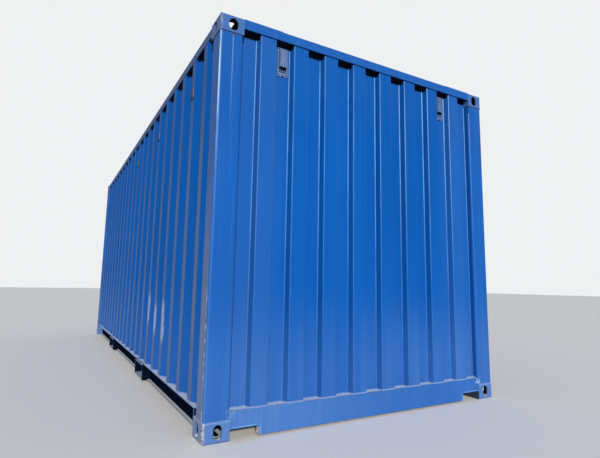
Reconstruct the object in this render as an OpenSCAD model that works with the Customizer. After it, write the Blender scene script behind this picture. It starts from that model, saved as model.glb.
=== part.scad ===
// Twenty foot shipping container, 20 ft by 8 ft by 8 ft 6 in over the corner castings.
// Origin: middle of the base. X runs along the length from the blank end to the doors,
// Y across the width to the left wall, Z up. All sizes are in millimetres.

/* [Overall] */
// Length over the corner castings
length = 6058; // [5000:1:7000]
// Width over the corner castings
width = 2438; // [2300:1:2600]
// Height over the corner castings
height = 2591; // [2400:1:2900]

/* [Corner castings] */
// Casting size along the length
casting_l = 178; // [174:1:190]
// Casting size across the width
casting_w = 162; // [158:1:175]
// Casting height
casting_h = 118; // [112:1:130]
// Thickness of the plate that holds the lock aperture
casting_plate = 28; // [20:1:32]
// Thickness of the two outer walls
casting_wall = 16; // [12:1:20]
// Thickness of the two inner walls and of the plate under the post
casting_inner = 12; // [8:1:16]
// Radius of the casting's outer corner edge
casting_round = 18; // [6:0.5:20]
// Radius of the casting's outer top or bottom edges
casting_edge = 13; // [3:0.5:16]
// Length of the lock aperture
aperture_l = 124.5; // [110:0.5:128]
// Width of the lock aperture
aperture_w = 63.5; // [55:0.5:68]
// Middle of the aperture from the end face
aperture_end = 102.5; // [98:0.5:105]
// Middle of the aperture from the side face
aperture_side = 89.5; // [86:0.5:92]
// Width of the hole in a top casting's end face and in a bottom casting's side face
wide_hole_w = 63.5; // [55:0.5:68]
// Width of the hole in a top casting's side face and in a bottom casting's end face
narrow_hole_w = 51; // [45:0.5:56]
// Height of the holes in the end and side faces
hand_hole_h = 79.5; // [70:0.5:84]
// Middle of those holes above the casting's outer face
hand_hole_z = 61; // [56:1:66]

/* [Corner posts] */
// Thickness of the pressed posts
post_t = 6; // [4:0.5:7]
// Width of a post's side face
post_side = 150; // [125:1:165]
// Inset of the front posts from the castings' faces
post_inset = 3; // [0:0.5:5]
// Depth of a front post's inner return
post_return = 64; // [60:1:80]
// Outer bend radius of the posts
post_bend = 18; // [8:0.5:22]
// Width of the cope at the head of a front post
cope_w = 10; // [6:1:16]
// Height of that cope
cope_h = 66; // [30:1:90]

/* [Rails] */
// Height of the top rails
top_rail_h = 60; // [50:1:80]
// Width of the top side rails
top_rail_w = 60; // [55:1:80]
// Wall of the top rails
top_rail_t = 4; // [3:0.5:6]
// Drop of the top rails below the top castings
top_drop = 8; // [6:0.5:12]
// Inset of the top side rails from the casting faces
top_rail_inset = 8; // [0:0.5:9]
// Inset of the bottom side rails from the casting faces
rail_inset = 3; // [0:0.5:6]
// Top of the bottom side rails above the base
side_rail_top = 162; // [155:1:175]
// Lift of all the bottom rails above the base
rail_lift = 13; // [10:0.5:16]
// Width of the bottom side rail's top flange
side_flange_top = 76; // [70:1:85]
// Width of the bottom side rail's lower flange
side_flange_low = 30; // [20:1:40]
// Sheet thickness of the bottom rails
rail_t = 4.5; // [3:0.5:6]
// Top of the front bottom rail above the base
sill_top = 166; // [160:1:180]
// Width of the front bottom rail's lower flange
sill_flange = 25; // [20:1:40]
// Width of the cut-outs at the ends of the end rails
notch_w = 188; // [150:1:220]
// Top of the cut-outs above the base
notch_top = 69; // [60:1:85]
// Radius of the cut-outs' upper corners
notch_round = 16; // [8:1:24]

/* [End wall] */
// Thickness of the front wall sheet
front_sheet = 2; // [1.5:0.1:3]
// Pitch of the recesses in the front wall, made to fit between the posts
front_pitch_wanted = 250; // [230:1:270]
// Distance from a post to the middle of the first recess
front_lead = 57; // [45:1:70]
// Width of a recess floor in the front wall
front_floor = 104; // [90:1:110]
// Width of a slope in the front wall
front_slope = 18; // [14:1:30]
// Depth of the recesses in the front wall
front_depth = 45.6; // [36:0.1:48]
// Inset of the front wall from the castings' faces
front_inset = 10; // [8:0.5:12]

/* [Side walls] */
// Thickness of the side wall sheet
side_sheet = 1.6; // [1.2:0.1:2.5]
// Pitch of the recesses in a side wall, made to fit between the posts
side_pitch_wanted = 285; // [270:1:300]
// Distance from a post to the middle of the first recess
side_lead = 25; // [10:1:60]
// Width of a recess floor in a side wall
side_floor = 72; // [60:1:80]
// Width of a slope in a side wall
side_slope = 68; // [60:1:70]
// Depth of the recesses in a side wall
side_depth = 36; // [25:1:40]
// Inset of the side walls from the castings' faces
side_inset = 10; // [8:0.5:14]
// Bend radius of the wall sheets
sheet_bend = 8; // [4:0.5:12]

/* [Roof] */
// Thickness of the roof sheet
roof_sheet = 2; // [1.5:0.1:3]
// Pitch of the troughs across each roof panel
roof_pitch = 209; // [200:1:215]
// Width of a trough's floor
trough_floor = 91; // [80:1:100]
// Width of a trough's slope
trough_slope = 14; // [10:1:20]
// Depth of the troughs
trough_depth = 20; // [12:1:24]
// Lap of the roof sheet on the side rails
roof_lap = 20; // [12:1:30]
// Distance from a side rail to the end of a trough
trough_end = 20; // [16:1:60]
// Length of the corner plates on the roof, from the end faces
guard_l = 212; // [150:1:300]
// Width of the corner plates on the roof
guard_w = 280; // [200:1:400]

/* [Floor] */
// Top of the cross members above the base
floor_base = 150; // [145:1:153]
// Thickness of the plywood floor
floor_t = 28; // [24:1:30]
// Number of floor panels
floor_panels_n = 5; // [4:1:6]
// Gap between floor panels
floor_gap = 3; // [2:0.5:6]
// Height of the cross members
member_h = 122; // [110:1:130]
// Flange width of the cross members
member_w = 45; // [40:1:60]
// Sheet thickness of the cross members
member_t = 4; // [3:0.5:6]
// Pitch of the cross members
member_pitch = 300; // [280:1:320]
// Clear width of a fork pocket
pocket_w = 360; // [330:1:370]
// Clear height of a fork pocket
pocket_h = 112; // [100:1:115]
// Wall of the fork pockets
pocket_t = 5; // [4:0.5:6]
// Distance between the middles of the fork pockets
pocket_pitch = 2050; // [1900:1:2100]

/* [Doors] */
// Depth of the door gear in front of the leaves
gear_depth = 52; // [48:1:60]
// Thickness of the door leaves
leaf_t = 50; // [44:1:56]
// Width of the door jambs beside the leaves
jamb_w = 46; // [42:1:52]
// Gap round each leaf, which the gasket fills
leaf_gap = 8; // [6:0.5:12]
// Width of the leaf stiles
stile_w = 80; // [70:1:100]
// Height of the leaf rails
leaf_rail_h = 120; // [100:1:150]
// Wall of the leaf frames
leaf_wall = 3.2; // [2.5:0.1:5]
// Pitch of the recesses in the leaf panels, made to fit between the leaf rails
leaf_pitch_wanted = 420; // [300:1:520]
// Depth of the recesses in the leaf panels
leaf_depth = 36; // [25:1:38]
// Depth of the door stop behind the leaves
stop_return = 44; // [30:1:50]
// Height of the header's door stop
header_stop = 33; // [20:1:40]
// Depth of the threshold behind the leaves
threshold_l = 54; // [40:1:80]
// Diameter of the lock bars
bar_d = 34; // [30:1:38]
// Wall of the lock bars
bar_wall = 3; // [2:0.5:4]
// Middle of the inner lock bars from the meeting of the leaves
inner_bar = 290; // [250:1:330]
// Middle of the outer lock bars from the leaves' outer edges
outer_bar_edge = 285; // [220:1:340]
// Length of a lock handle
handle_l = 400; // [300:1:450]
// Difference in height between the two handles of a leaf
handle_step = 110; // [90:1:130]
// Height of a bracket
bracket_h = 40; // [30:1:60]
// Hinges on each leaf
hinges = 4; // [3:1:6]
// Height of a hinge blade
blade_h = 90; // [70:1:120]
// Length of a hinge blade
blade_l = 150; // [100:1:190]

/* [Ventilators] */
// Width of a front ventilator plate
vent_w = 80; // [70:1:90]
// Height of a front ventilator plate
vent_h = 206; // [180:1:220]
// Distance from the top rail to the plate
vent_drop = 23; // [15:1:40]
// Thickness of the plate
vent_plate = 3; // [2:0.5:4]
// Width of the hood on the plate
hood_w = 56; // [45:1:64]
// Height of the hood
hood_h = 126; // [100:1:140]
// Projection of a hood
hood_d = 12; // [9:0.5:16]
// Wall of a hood
hood_t = 2; // [1.5:0.5:3]
// Width of a side ventilator
side_vent_w = 68; // [50:1:72]
// Height of a side ventilator
side_vent_h = 66; // [55:1:90]
// Distance from the top rail to a side ventilator
side_vent_drop = 218; // [150:1:240]

/* [Hidden] */

paint = [0.10, 0.37, 0.70];
paint_dark = [0.07, 0.29, 0.57];
steel = [0.55, 0.56, 0.58];
plywood = [0.52, 0.36, 0.22];
rubber = [0.08, 0.08, 0.09];

end_x = length / 2;
side_y = width / 2;
top_rail_top = height - top_drop;
top_rail_low = top_rail_top - top_rail_h;
casting_under = height - casting_h;
span_y = side_y - casting_w;
span_x = end_x - casting_l;
rail_back = rail_inset + side_flange_top;
bend_steps = 3;

// Corrugations run whole from post to post, so their pitch follows the length and the width
wall_x = end_x - post_side;
side_steps = round((wall_x - side_lead) / side_pitch_wanted);
side_pitch = (wall_x - side_lead) / side_steps;
front_steps = round((span_y - front_lead) / front_pitch_wanted);
front_pitch = (span_y - front_lead) / front_steps;
post_lip = side_inset + side_depth + side_sheet + 4;

// Bent sheet: the outline follows the points p, and the sheet's other face lies t to the
// right of them. Rounded bends come from bent(), which turns every inner point into an arc.
function unit(v) = v / norm(v);
function right_of(v) = [v[1], -v[0]];
function mitre(a, b) =
    let (n = right_of(unit(a)), m = right_of(unit(b)))
    (n + m) / (1 + n * m);
function moved(p, i, t) =
    let (last = len(p) - 1,
         before = i > 0 ? p[i] - p[i - 1] : p[1] - p[0],
         after = i < last ? p[i + 1] - p[i] : p[last] - p[last - 1])
    p[i] + t * mitre(before, after);
function sheet(p, t) = concat(p, [for (i = [len(p) - 1 : -1 : 0]) moved(p, i, t)]);
function bend(p, i, r, steps) =
    let (a = unit(p[i] - p[i - 1]),
         b = unit(p[i + 1] - p[i]),
         turn = atan2(a[0] * b[1] - a[1] * b[0], a * b),
         start = p[i] - a * r * tan(abs(turn) / 2),
         in = sign(turn) * [-a[1], a[0]])
    [for (s = [0 : steps])
        let (f = abs(turn) * s / steps)
        start + r * (sin(f) * a + (1 - cos(f)) * in)];
function bent(p, r, steps = bend_steps) = [
    p[0],
    for (i = [1 : len(p) - 2]) each bend(p, i, r, steps),
    p[len(p) - 1]
];

// Corrugated sheet line from u0 to u1 with n recesses round the middle of the sheet. A wall
// line starts and ends in the floor of its first and last recess, beside the posts.
function wall_line(half, n, pitch, floor_w, slope, v0, depth) =
    let (line = corrugation(-half, half, n, pitch, floor_w, slope, v0, depth))
    concat(
        [[-half, v0 + depth]],
        [for (i = [3 : len(line) - 4]) line[i]],
        [[half, v0 + depth]]
    );
function corrugation(u0, u1, n, pitch, floor_w, slope, v0, depth) =
    let (mid = (u0 + u1) / 2, first = mid - pitch * (n - 1) / 2)
    [
        [u0, v0],
        for (k = [0 : n - 1]) each [
            [first + k * pitch - floor_w / 2 - slope, v0],
            [first + k * pitch - floor_w / 2, v0 + depth],
            [first + k * pitch + floor_w / 2, v0 + depth],
            [first + k * pitch + floor_w / 2 + slope, v0]
        ],
        [u1, v0]
    ];
function swapped(p) = [for (q = p) [q[1], q[0]]];

// Extrusions along each axis, from one place to another
module along_x(from, to)
    translate([from, 0, 0]) rotate([90, 0, 90]) linear_extrude(to - from) children();
module along_y(from, to)
    translate([0, to, 0]) rotate([90, 0, 0]) linear_extrude(to - from) children();
module along_z(from, to)
    translate([0, 0, from]) linear_extrude(to - from) children();

// Places: x is then the depth from an end face, y the depth from a side face
module at_front() translate([-end_x, 0, 0]) children();
module at_doors() translate([end_x, 0, 0]) mirror([1, 0, 0]) children();
module on_left() translate([0, side_y, 0]) mirror([0, 1, 0]) children();
module on_right() translate([0, -side_y, 0]) children();
module upside_down() translate([0, 0, height]) mirror([0, 0, 1]) children();
module right_leaf() mirror([0, 1, 0]) children();

// Rectangle whose corner at the origin is rounded
module eased_square(size, r)
    union() {
        translate([r, 0]) square([size[0] - r, size[1]]);
        translate([0, r]) square([size[0], size[1] - r]);
        translate([r, r]) circle(r = r, $fn = 32);
    }

module slot(l, w)
    union() {
        square([l - w, w], center = true);
        for (s = [-1, 1]) translate([s * (l - w) / 2, 0]) circle(d = w, $fn = 48);
    }

module tube_section(size, t)
    difference() {
        square(size);
        translate([t, t]) square([size[0] - 2 * t, size[1] - 2 * t]);
    }

// Corner casting, with its corner at the origin and its lock aperture below
module casting(end_hole_w, side_hole_w)
    color(paint)
        difference() {
            intersection() {
                along_z(0, casting_h) eased_square([casting_l, casting_w], casting_round);
                along_x(0, casting_l) eased_square([casting_w, casting_h], casting_edge);
                along_y(0, casting_w) eased_square([casting_l, casting_h], casting_edge);
            }
            translate([casting_wall, casting_wall, casting_plate])
                cube([
                    casting_l - casting_wall - casting_inner,
                    casting_w - casting_wall - casting_inner,
                    casting_h - casting_plate - casting_inner
                ]);
            translate([aperture_end, aperture_side, -1])
                linear_extrude(casting_plate + 2) slot(aperture_l, aperture_w);
            along_y(-1, casting_wall + 1)
                translate([aperture_end, hand_hole_z]) rotate(90) slot(hand_hole_h, side_hole_w);
            along_x(-1, casting_wall + 1)
                translate([aperture_side, hand_hole_z]) rotate(90) slot(hand_hole_h, end_hole_w);
        }

module bottom_casting() casting(narrow_hole_w, wide_hole_w);
module top_casting() upside_down() casting(wide_hole_w, narrow_hole_w);
module front_left_bottom_casting() at_front() on_left() bottom_casting();
module front_right_bottom_casting() at_front() on_right() bottom_casting();
module rear_left_bottom_casting() at_doors() on_left() bottom_casting();
module rear_right_bottom_casting() at_doors() on_right() bottom_casting();
module front_left_top_casting() at_front() on_left() top_casting();
module front_right_top_casting() at_front() on_right() top_casting();
module rear_left_top_casting() at_doors() on_left() top_casting();
module rear_right_top_casting() at_doors() on_right() top_casting();

// Pressed front post: side face, front face and a return that the front wall meets. The
// return is coped at the head, beside the casting.
module front_post()
    color(paint)
        difference() {
            along_z(casting_h, casting_under)
                polygon(sheet(bent([
                    [post_side, post_lip],
                    [post_side, post_inset],
                    [post_inset, post_inset],
                    [post_inset, casting_w],
                    [post_return, casting_w]
                ], post_bend, 2 * bend_steps), post_t));
            translate([-1, casting_w - cope_w, casting_under - cope_h])
                cube([front_inset + front_depth - cope_w, cope_w + 1, cope_h + 1]);
        }

// Rear post: a stepped section that leaves room for the hinges and stops the leaf
hinge_edge = 16;
leaf_back = gear_depth + leaf_t + 4;
stop_w = jamb_w + 58;
module rear_post()
    color(paint)
        along_z(casting_h, casting_under)
            polygon(sheet([
                [post_side, post_lip],
                [post_side, rail_inset],
                [rail_inset, rail_inset],
                [rail_inset, hinge_edge],
                [gear_depth, hinge_edge],
                [gear_depth, jamb_w],
                [leaf_back, jamb_w],
                [leaf_back, stop_w],
                [leaf_back + stop_return, stop_w]
            ], post_t));

module front_left_post() at_front() on_left() front_post();
module front_right_post() at_front() on_right() front_post();
module rear_left_post() at_doors() on_left() rear_post();
module rear_right_post() at_doors() on_right() rear_post();

module front_top_rail()
    color(paint)
        at_front() along_y(-span_y, span_y)
            translate([0, top_rail_low]) tube_section([post_return, top_rail_h], top_rail_t);

// Cut-outs beside the castings at both ends of an end rail
module end_notches(depth)
    for (s = [0, 1])
        mirror([0, s, 0])
            along_x(-1, depth)
                union() {
                    translate([span_y - notch_w, -1])
                        square([notch_w + 1, notch_top - notch_round + 1]);
                    translate([span_y - notch_w + notch_round, -1])
                        square([notch_w - 2 * notch_round, notch_top + 1]);
                    for (y = [span_y - notch_w + notch_round, span_y - notch_round])
                        translate([y, notch_top - notch_round]) circle(r = notch_round, $fn = 32);
                }

module front_bottom_rail()
    color(paint)
        at_front()
            difference() {
                along_y(-span_y, span_y)
                    polygon(sheet([
                        [post_return, sill_top],
                        [0, sill_top],
                        [0, rail_lift],
                        [sill_flange, rail_lift]
                    ], -rail_t));
                end_notches(post_return + 1);
            }

module door_sill()
    color(paint)
        at_doors()
            difference() {
                along_y(-span_y, span_y)
                    polygon(sheet([
                        [leaf_back + threshold_l, floor_base + floor_t],
                        [leaf_back, floor_base + floor_t],
                        [leaf_back, casting_h + leaf_gap],
                        [gear_depth, casting_h + leaf_gap],
                        [gear_depth, rail_lift],
                        [gear_depth + sill_flange, rail_lift]
                    ], -rail_t));
                end_notches(leaf_back - rail_t);
            }

// Header: a box face over the leaves, and a stop behind them from post to post
module door_header()
    color(paint)
        at_doors() {
            along_y(-span_y, span_y)
                polygon(sheet([
                    [leaf_back + stop_return, top_rail_top],
                    [gear_depth, top_rail_top],
                    [gear_depth, casting_under],
                    [leaf_back + rail_t, casting_under]
                ], -rail_t));
            along_y(stop_w - side_y, side_y - stop_w)
                polygon(sheet([
                    [leaf_back, casting_under],
                    [leaf_back, casting_under - header_stop],
                    [leaf_back + stop_return, casting_under - header_stop]
                ], -rail_t));
        }

module top_rail()
    color(paint)
        along_x(-span_x, span_x)
            translate([top_rail_inset, top_rail_low])
                tube_section([top_rail_w, top_rail_h], top_rail_t);
module left_top_rail() on_left() top_rail();
module right_top_rail() on_right() top_rail();

// Bottom side rail: a channel that opens outwards, in three lengths between the castings and
// the fork pockets, with a cheek that closes it beside each pocket
pocket_low = rail_lift + rail_t + 2;
pocket_roof = pocket_low + pocket_t + pocket_h;
pocket_near = pocket_pitch / 2 - pocket_w / 2;
pocket_far = pocket_pitch / 2 + pocket_w / 2;
module rail_length(from, to)
    along_x(from, to)
        polygon(sheet([
            [rail_inset, side_rail_top],
            [rail_back, side_rail_top],
            [rail_back, rail_lift],
            [rail_back - side_flange_low, rail_lift]
        ], rail_t));
module rail_cheek(x)
    along_x(x, x + pocket_t)
        translate([rail_inset, rail_lift])
            square([side_flange_top, side_rail_top - rail_lift]);
module bottom_rail()
    color(paint) {
        rail_length(-pocket_near, pocket_near);
        for (m = [0, 1])
            mirror([m, 0, 0]) {
                rail_length(pocket_far, span_x);
                for (x = [pocket_near - pocket_t, pocket_far]) rail_cheek(x);
            }
    }
module left_bottom_rail() on_left() bottom_rail();
module right_bottom_rail() on_right() bottom_rail();

// Channel cross members under the floor. The ones beside a fork pocket are its walls.
module member(low)
    along_y(rail_back - side_y, side_y - rail_back)
        polygon(sheet([[member_w, floor_base], [0, floor_base], [0, low], [member_w, low]], -member_t));
module cross_members()
    color(paint_dark) {
        for (i = [-floor(span_x / member_pitch) : floor(span_x / member_pitch)])
            if (abs(abs(i * member_pitch) - pocket_pitch / 2) > pocket_w / 2 + 2 * member_w)
                translate([i * member_pitch - member_w / 2, 0, 0]) member(floor_base - member_h);
        for (s = [-1, 1], m = [0, 1])
            translate([s * pocket_pitch / 2, 0, 0])
                mirror([m, 0, 0])
                    translate([pocket_w / 2, 0, 0]) member(pocket_low);
    }

// Fork pockets: a roof plate from face to face, which carries the rails' upper edge across at
// both ends, and a plate under each mouth
pocket_lip = 200;
module pocket_section() {
    half = side_y - rail_inset;
    union() {
        translate([-half, pocket_roof]) square([2 * half, pocket_t]);
        for (m = [0, 1])
            mirror([m, 0])
                polygon(sheet([
                    [half, side_rail_top],
                    [side_y - rail_back, side_rail_top],
                    [side_y - rail_back, pocket_roof]
                ], -rail_t));
    }
    for (m = [0, 1])
        mirror([m, 0]) translate([half - pocket_lip, pocket_low]) square([pocket_lip, pocket_t]);
}
module fork_pockets()
    color(paint_dark)
        for (s = [-1, 1])
            along_x(s * pocket_pitch / 2 - pocket_w / 2, s * pocket_pitch / 2 + pocket_w / 2)
                pocket_section();

module floor_panels() {
    start = -end_x + post_return + 4;
    panel = (end_x - leaf_back - threshold_l - floor_gap - start) / floor_panels_n;
    color(plywood)
        for (i = [0 : floor_panels_n - 1])
            translate([start + i * panel, rail_back - side_y + 1, floor_base])
                cube([panel - floor_gap, 2 * (side_y - rail_back - 1), floor_t]);
}

module front_wall()
    color(paint)
        at_front()
            along_z(sill_top, top_rail_low)
                polygon(sheet(bent(swapped(wall_line(
                    span_y, 2 * front_steps + 1, front_pitch, front_floor, front_slope,
                    front_inset, front_depth
                )), sheet_bend), front_sheet));

module side_wall()
    color(paint)
        along_z(side_rail_top, top_rail_low)
            polygon(sheet(bent(wall_line(
                wall_x, 2 * side_steps + 1, side_pitch, side_floor, side_slope,
                side_inset, side_depth
            ), sheet_bend), -side_sheet));
module left_wall() on_left() side_wall();
module right_wall() on_right() side_wall();

// Roof panel: the sheet is what lies between a stamped surface and the same surface lowered
panel_l = 2 * span_x / 5;
roof_troughs = floor(panel_l / roof_pitch);
roof_half = side_y - top_rail_inset - top_rail_w + roof_lap;
trough_half = side_y - top_rail_inset - top_rail_w - trough_end - trough_slope;
stamp_core = 100;
module stamped_mass(level, over) {
    deep = level - stamp_core;
    line = corrugation(-over, panel_l + over, roof_troughs, roof_pitch, trough_floor, trough_slope,
        level, -trough_depth);
    edge = roof_half + over;
    along_y(-edge, edge) polygon(concat([[-over, deep]], line, [[panel_l + over, deep]]));
    along_x(-over, panel_l + over)
        polygon([
            [-edge, deep], [-edge, level],
            [-trough_half - trough_slope, level], [-trough_half, level - trough_depth],
            [trough_half, level - trough_depth], [trough_half + trough_slope, level],
            [edge, level], [edge, deep]
        ]);
}
module roof_panel(n)
    color(paint)
        translate([-span_x + n * panel_l, 0, 0])
            difference() {
                stamped_mass(top_rail_top + roof_sheet, 0);
                stamped_mass(top_rail_top, 1);
            }
module roof_panel_1() roof_panel(0);
module roof_panel_2() roof_panel(1);
module roof_panel_3() roof_panel(2);
module roof_panel_4() roof_panel(3);
module roof_panel_5() roof_panel(4);

// End plates, with a thicker corner plate beside each top casting
module roof_end_plates()
    color(paint) {
        at_front()
            translate([0, -span_y, top_rail_top]) cube([casting_l, 2 * span_y, roof_sheet]);
        at_doors()
            translate([gear_depth, -span_y, top_rail_top])
                cube([casting_l - gear_depth, 2 * span_y, roof_sheet]);
        for (s = [0, 1])
            mirror([0, s, 0]) {
                at_front()
                    translate([0, span_y - guard_w, top_rail_top + roof_sheet])
                        cube([guard_l, guard_w, top_drop - 2 * roof_sheet]);
                at_doors()
                    translate([gear_depth, span_y - guard_w, top_rail_top + roof_sheet])
                        cube([guard_l - gear_depth, guard_w, top_drop - 2 * roof_sheet]);
            }
    }

// Hood in depths y from the sheet that carries it: three walls and a roof, open below
module hood(w, h, d)
    difference() {
        along_z(0, h)
            polygon([[-w / 2, 0], [w / 2, 0], [w / 2 - d / 3, -d], [d / 3 - w / 2, -d]]);
        along_z(-1, h - hood_t)
            polygon([
                [hood_t - w / 2, 1], [w / 2 - hood_t, 1],
                [w / 2 - d / 3 - hood_t, hood_t - d], [d / 3 - w / 2 + hood_t, hood_t - d]
            ]);
    }

// Front ventilator: a plate with a window under a hood and a notch in its lower edge
vent_notch = 12;
vent_mouth = 16;
module front_ventilator() {
    hood_low = vent_h - hood_h - vent_notch;
    along_y(-vent_plate, 0)
        difference() {
            translate([-vent_w / 2, 0]) square([vent_w, vent_h]);
            translate([hood_t - hood_w / 2, hood_low - vent_mouth])
                square([hood_w - 2 * hood_t, vent_mouth + hood_h / 2]);
            polygon([[-vent_notch / 2, -1], [vent_notch / 2, -1], [0, vent_notch]]);
        }
    translate([0, -vent_plate, hood_low]) hood(hood_w, hood_h, hood_d);
}
module front_ventilators()
    color(paint_dark)
        at_front()
            for (s = [-1, 1])
                translate([
                    front_inset + front_depth, s * (front_steps - 1) * front_pitch,
                    top_rail_low - vent_drop - vent_h
                ])
                    rotate(-90) front_ventilator();

// Side ventilators sit on the proud flats of the front half, every fourth pitch
vent_flats = [for (i = [0.5 : 4 : side_steps - 1]) -i];
module side_ventilators()
    color(paint_dark)
        for (m = [0, 1])
            mirror([0, m, 0])
                on_left()
                    for (i = vent_flats)
                        translate([
                            i * side_pitch, side_inset,
                            top_rail_low - side_vent_drop - side_vent_h
                        ])
                            hood(side_vent_w, side_vent_h, side_inset);

// Door leaves, in depths from the end face; the left leaf lies at positive Y
leaf_y0 = leaf_gap / 2;
leaf_y1 = side_y - jamb_w - leaf_gap;
leaf_z0 = casting_h + 2 * leaf_gap;
leaf_z1 = casting_under - leaf_gap;
panel_z0 = leaf_z0 + leaf_rail_h;
panel_z1 = leaf_z1 - leaf_rail_h;
leaf_steps = round((panel_z1 - panel_z0) / leaf_pitch_wanted);
leaf_pitch = (panel_z1 - panel_z0) / leaf_steps;
module door_frame()
    color(paint) {
        for (y = [leaf_y0, leaf_y1 - stile_w])
            along_z(leaf_z0, leaf_z1)
                translate([gear_depth, y]) tube_section([leaf_t, stile_w], leaf_wall);
        along_y(leaf_y0 + stile_w, leaf_y1 - stile_w) {
            polygon(sheet([
                [gear_depth, leaf_z0 + leaf_rail_h],
                [gear_depth, leaf_z0],
                [gear_depth + leaf_t, leaf_z0],
                [gear_depth + leaf_t, leaf_z0 + leaf_rail_h]
            ], -leaf_wall));
            polygon(sheet([
                [gear_depth, leaf_z1 - leaf_rail_h],
                [gear_depth, leaf_z1],
                [gear_depth + leaf_t, leaf_z1],
                [gear_depth + leaf_t, leaf_z1 - leaf_rail_h]
            ], leaf_wall));
        }
    }
module door_panel()
    color(paint)
        at_doors()
            along_y(leaf_y0 + stile_w, leaf_y1 - stile_w)
                polygon(sheet(bent(swapped(corrugation(
                    panel_z0, panel_z1, leaf_steps, leaf_pitch, side_floor, side_slope,
                    gear_depth, leaf_depth
                )), sheet_bend), front_sheet));
module left_door_frame() at_doors() door_frame();
module right_door_frame() right_leaf() at_doors() door_frame();
module left_door_panel() door_panel();
module right_door_panel() right_leaf() door_panel();

// Lock bars with a cam at each end, and what sits along them: handles on one proud flat of
// the leaf, brackets on the flats beside it and on the leaf's own rails
bar_x = gear_depth - bar_d / 2 - 8;
bar_low = casting_h - 38;
bar_high = casting_under + 46;
outer_bar = leaf_y1 - outer_bar_edge;
cam_h = 24;
cam_l = 42;
handle_flat = round(0.4 * leaf_steps);
handle_z = panel_z0 + handle_flat * leaf_pitch;
bracket_zs = [
    leaf_z0 + leaf_rail_h / 2, handle_z - leaf_pitch,
    handle_z + leaf_pitch, leaf_z1 - leaf_rail_h / 2
];
module lock_bar(y)
    translate([bar_x, y, 0]) {
        along_z(bar_low, bar_high)
            difference() {
                circle(d = bar_d, $fn = 48);
                circle(d = bar_d - 2 * bar_wall, $fn = 48);
            }
        for (z = [bar_low - cam_h, bar_high])
            along_z(z, z + cam_h)
                union() {
                    circle(d = bar_d, $fn = 48);
                    translate([-bar_d / 2 + 4, 0]) square([bar_d - 8, cam_l]);
                }
    }
module lock_bars() color(steel) at_doors() for (y = [inner_bar, outer_bar]) lock_bar(y);
module left_lock_bars() lock_bars();
module right_lock_bars() right_leaf() lock_bars();

// Handle with its hub on the bar, pointing along y, and the catch for its free end
hub_h = 60;
hub_wall = 6;
handle_t = 10;
handle_neck = 16;
handle_grip = 11;
catch_w = 46;
catch_jaw = 9;
module lock_handle() {
    translate([bar_x, 0, 0]) {
        along_z(-hub_h / 2, hub_h / 2)
            difference() {
                circle(d = bar_d + 2 * hub_wall, $fn = 48);
                circle(d = bar_d, $fn = 48);
            }
        along_x(-handle_t / 2, handle_t / 2)
            polygon([
                [bar_d / 2 + 1, -handle_neck], [2 * bar_d, -handle_neck],
                [3 * bar_d, -handle_grip], [handle_l - handle_grip, -handle_grip],
                [handle_l, -handle_grip / 2], [handle_l, handle_grip / 2],
                [handle_l - handle_grip, handle_grip], [3 * bar_d, handle_grip],
                [2 * bar_d, handle_neck], [bar_d / 2 + 1, handle_neck]
            ]);
    }
}
module handle_catch()
    translate([0, handle_l - 2.4 * catch_w, 0])
        along_y(0, catch_w)
            polygon([
                [gear_depth, -handle_grip - 2 * catch_jaw],
                [gear_depth, handle_grip + 2 * catch_jaw],
                [gear_depth - catch_jaw, handle_grip + 2 * catch_jaw],
                [bar_x - handle_t, handle_grip + catch_jaw],
                [bar_x - handle_t, handle_grip], [gear_depth - catch_jaw, handle_grip],
                [gear_depth - catch_jaw, -handle_grip], [bar_x - handle_t, -handle_grip],
                [bar_x - handle_t, -handle_grip - catch_jaw],
                [gear_depth - catch_jaw, -handle_grip - 2 * catch_jaw]
            ]);
module at_handles()
    for (m = [0, 1])
        mirror([0, m, 0])
            at_doors() {
                translate([0, inner_bar, handle_z + handle_step / 2]) children();
                translate([0, outer_bar, handle_z - handle_step / 2])
                    mirror([0, 1, 0]) children();
            }
module lock_handles() color(steel) at_handles() lock_handle();

// Brackets that guide the bars, with the handles' catches
bracket_wall = 5;
bracket_foot = 90;
module bar_brackets()
    color(steel) {
        for (m = [0, 1])
            mirror([0, m, 0])
                at_doors()
                    for (y = [inner_bar, outer_bar], z = bracket_zs)
                        translate([0, y, z])
                            along_z(-bracket_h / 2, bracket_h / 2)
                                difference() {
                                    union() {
                                        translate([bar_x, 0])
                                            circle(d = bar_d + 2 * bracket_wall, $fn = 48);
                                        translate([bar_x, -bar_d / 2 - bracket_wall])
                                            square([gear_depth - bar_x, bar_d + 2 * bracket_wall]);
                                        translate([gear_depth - bracket_wall, -bracket_foot / 2])
                                            square([bracket_wall, bracket_foot]);
                                    }
                                    translate([bar_x, 0]) circle(d = bar_d + 1, $fn = 48);
                                }
        at_handles() handle_catch();
    }

// Keepers on the header and the sill: a plate with a jaw above and below each cam
keeper_t = 6;
jaw_h = 10;
jaw_gap = 2;
jaw_w = 36;
module cam_keepers()
    color(steel)
        for (m = [0, 1], y = [inner_bar, outer_bar], z = [bar_low - cam_h, bar_high])
            mirror([0, m, 0])
                at_doors() {
                    along_z(z - jaw_gap - jaw_h, z + cam_h + jaw_gap + jaw_h)
                        translate([gear_depth - keeper_t, y - jaw_w])
                            square([keeper_t, 2 * jaw_w + bar_d / 2 + jaw_gap]);
                    for (jaw_z = [z - jaw_gap - jaw_h, z + cam_h + jaw_gap])
                        along_z(jaw_z, jaw_z + jaw_h)
                            translate([bar_x - keeper_t, y + bar_d / 2 + jaw_gap])
                                square([gear_depth - bar_x + keeper_t, jaw_w]);
                }

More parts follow.
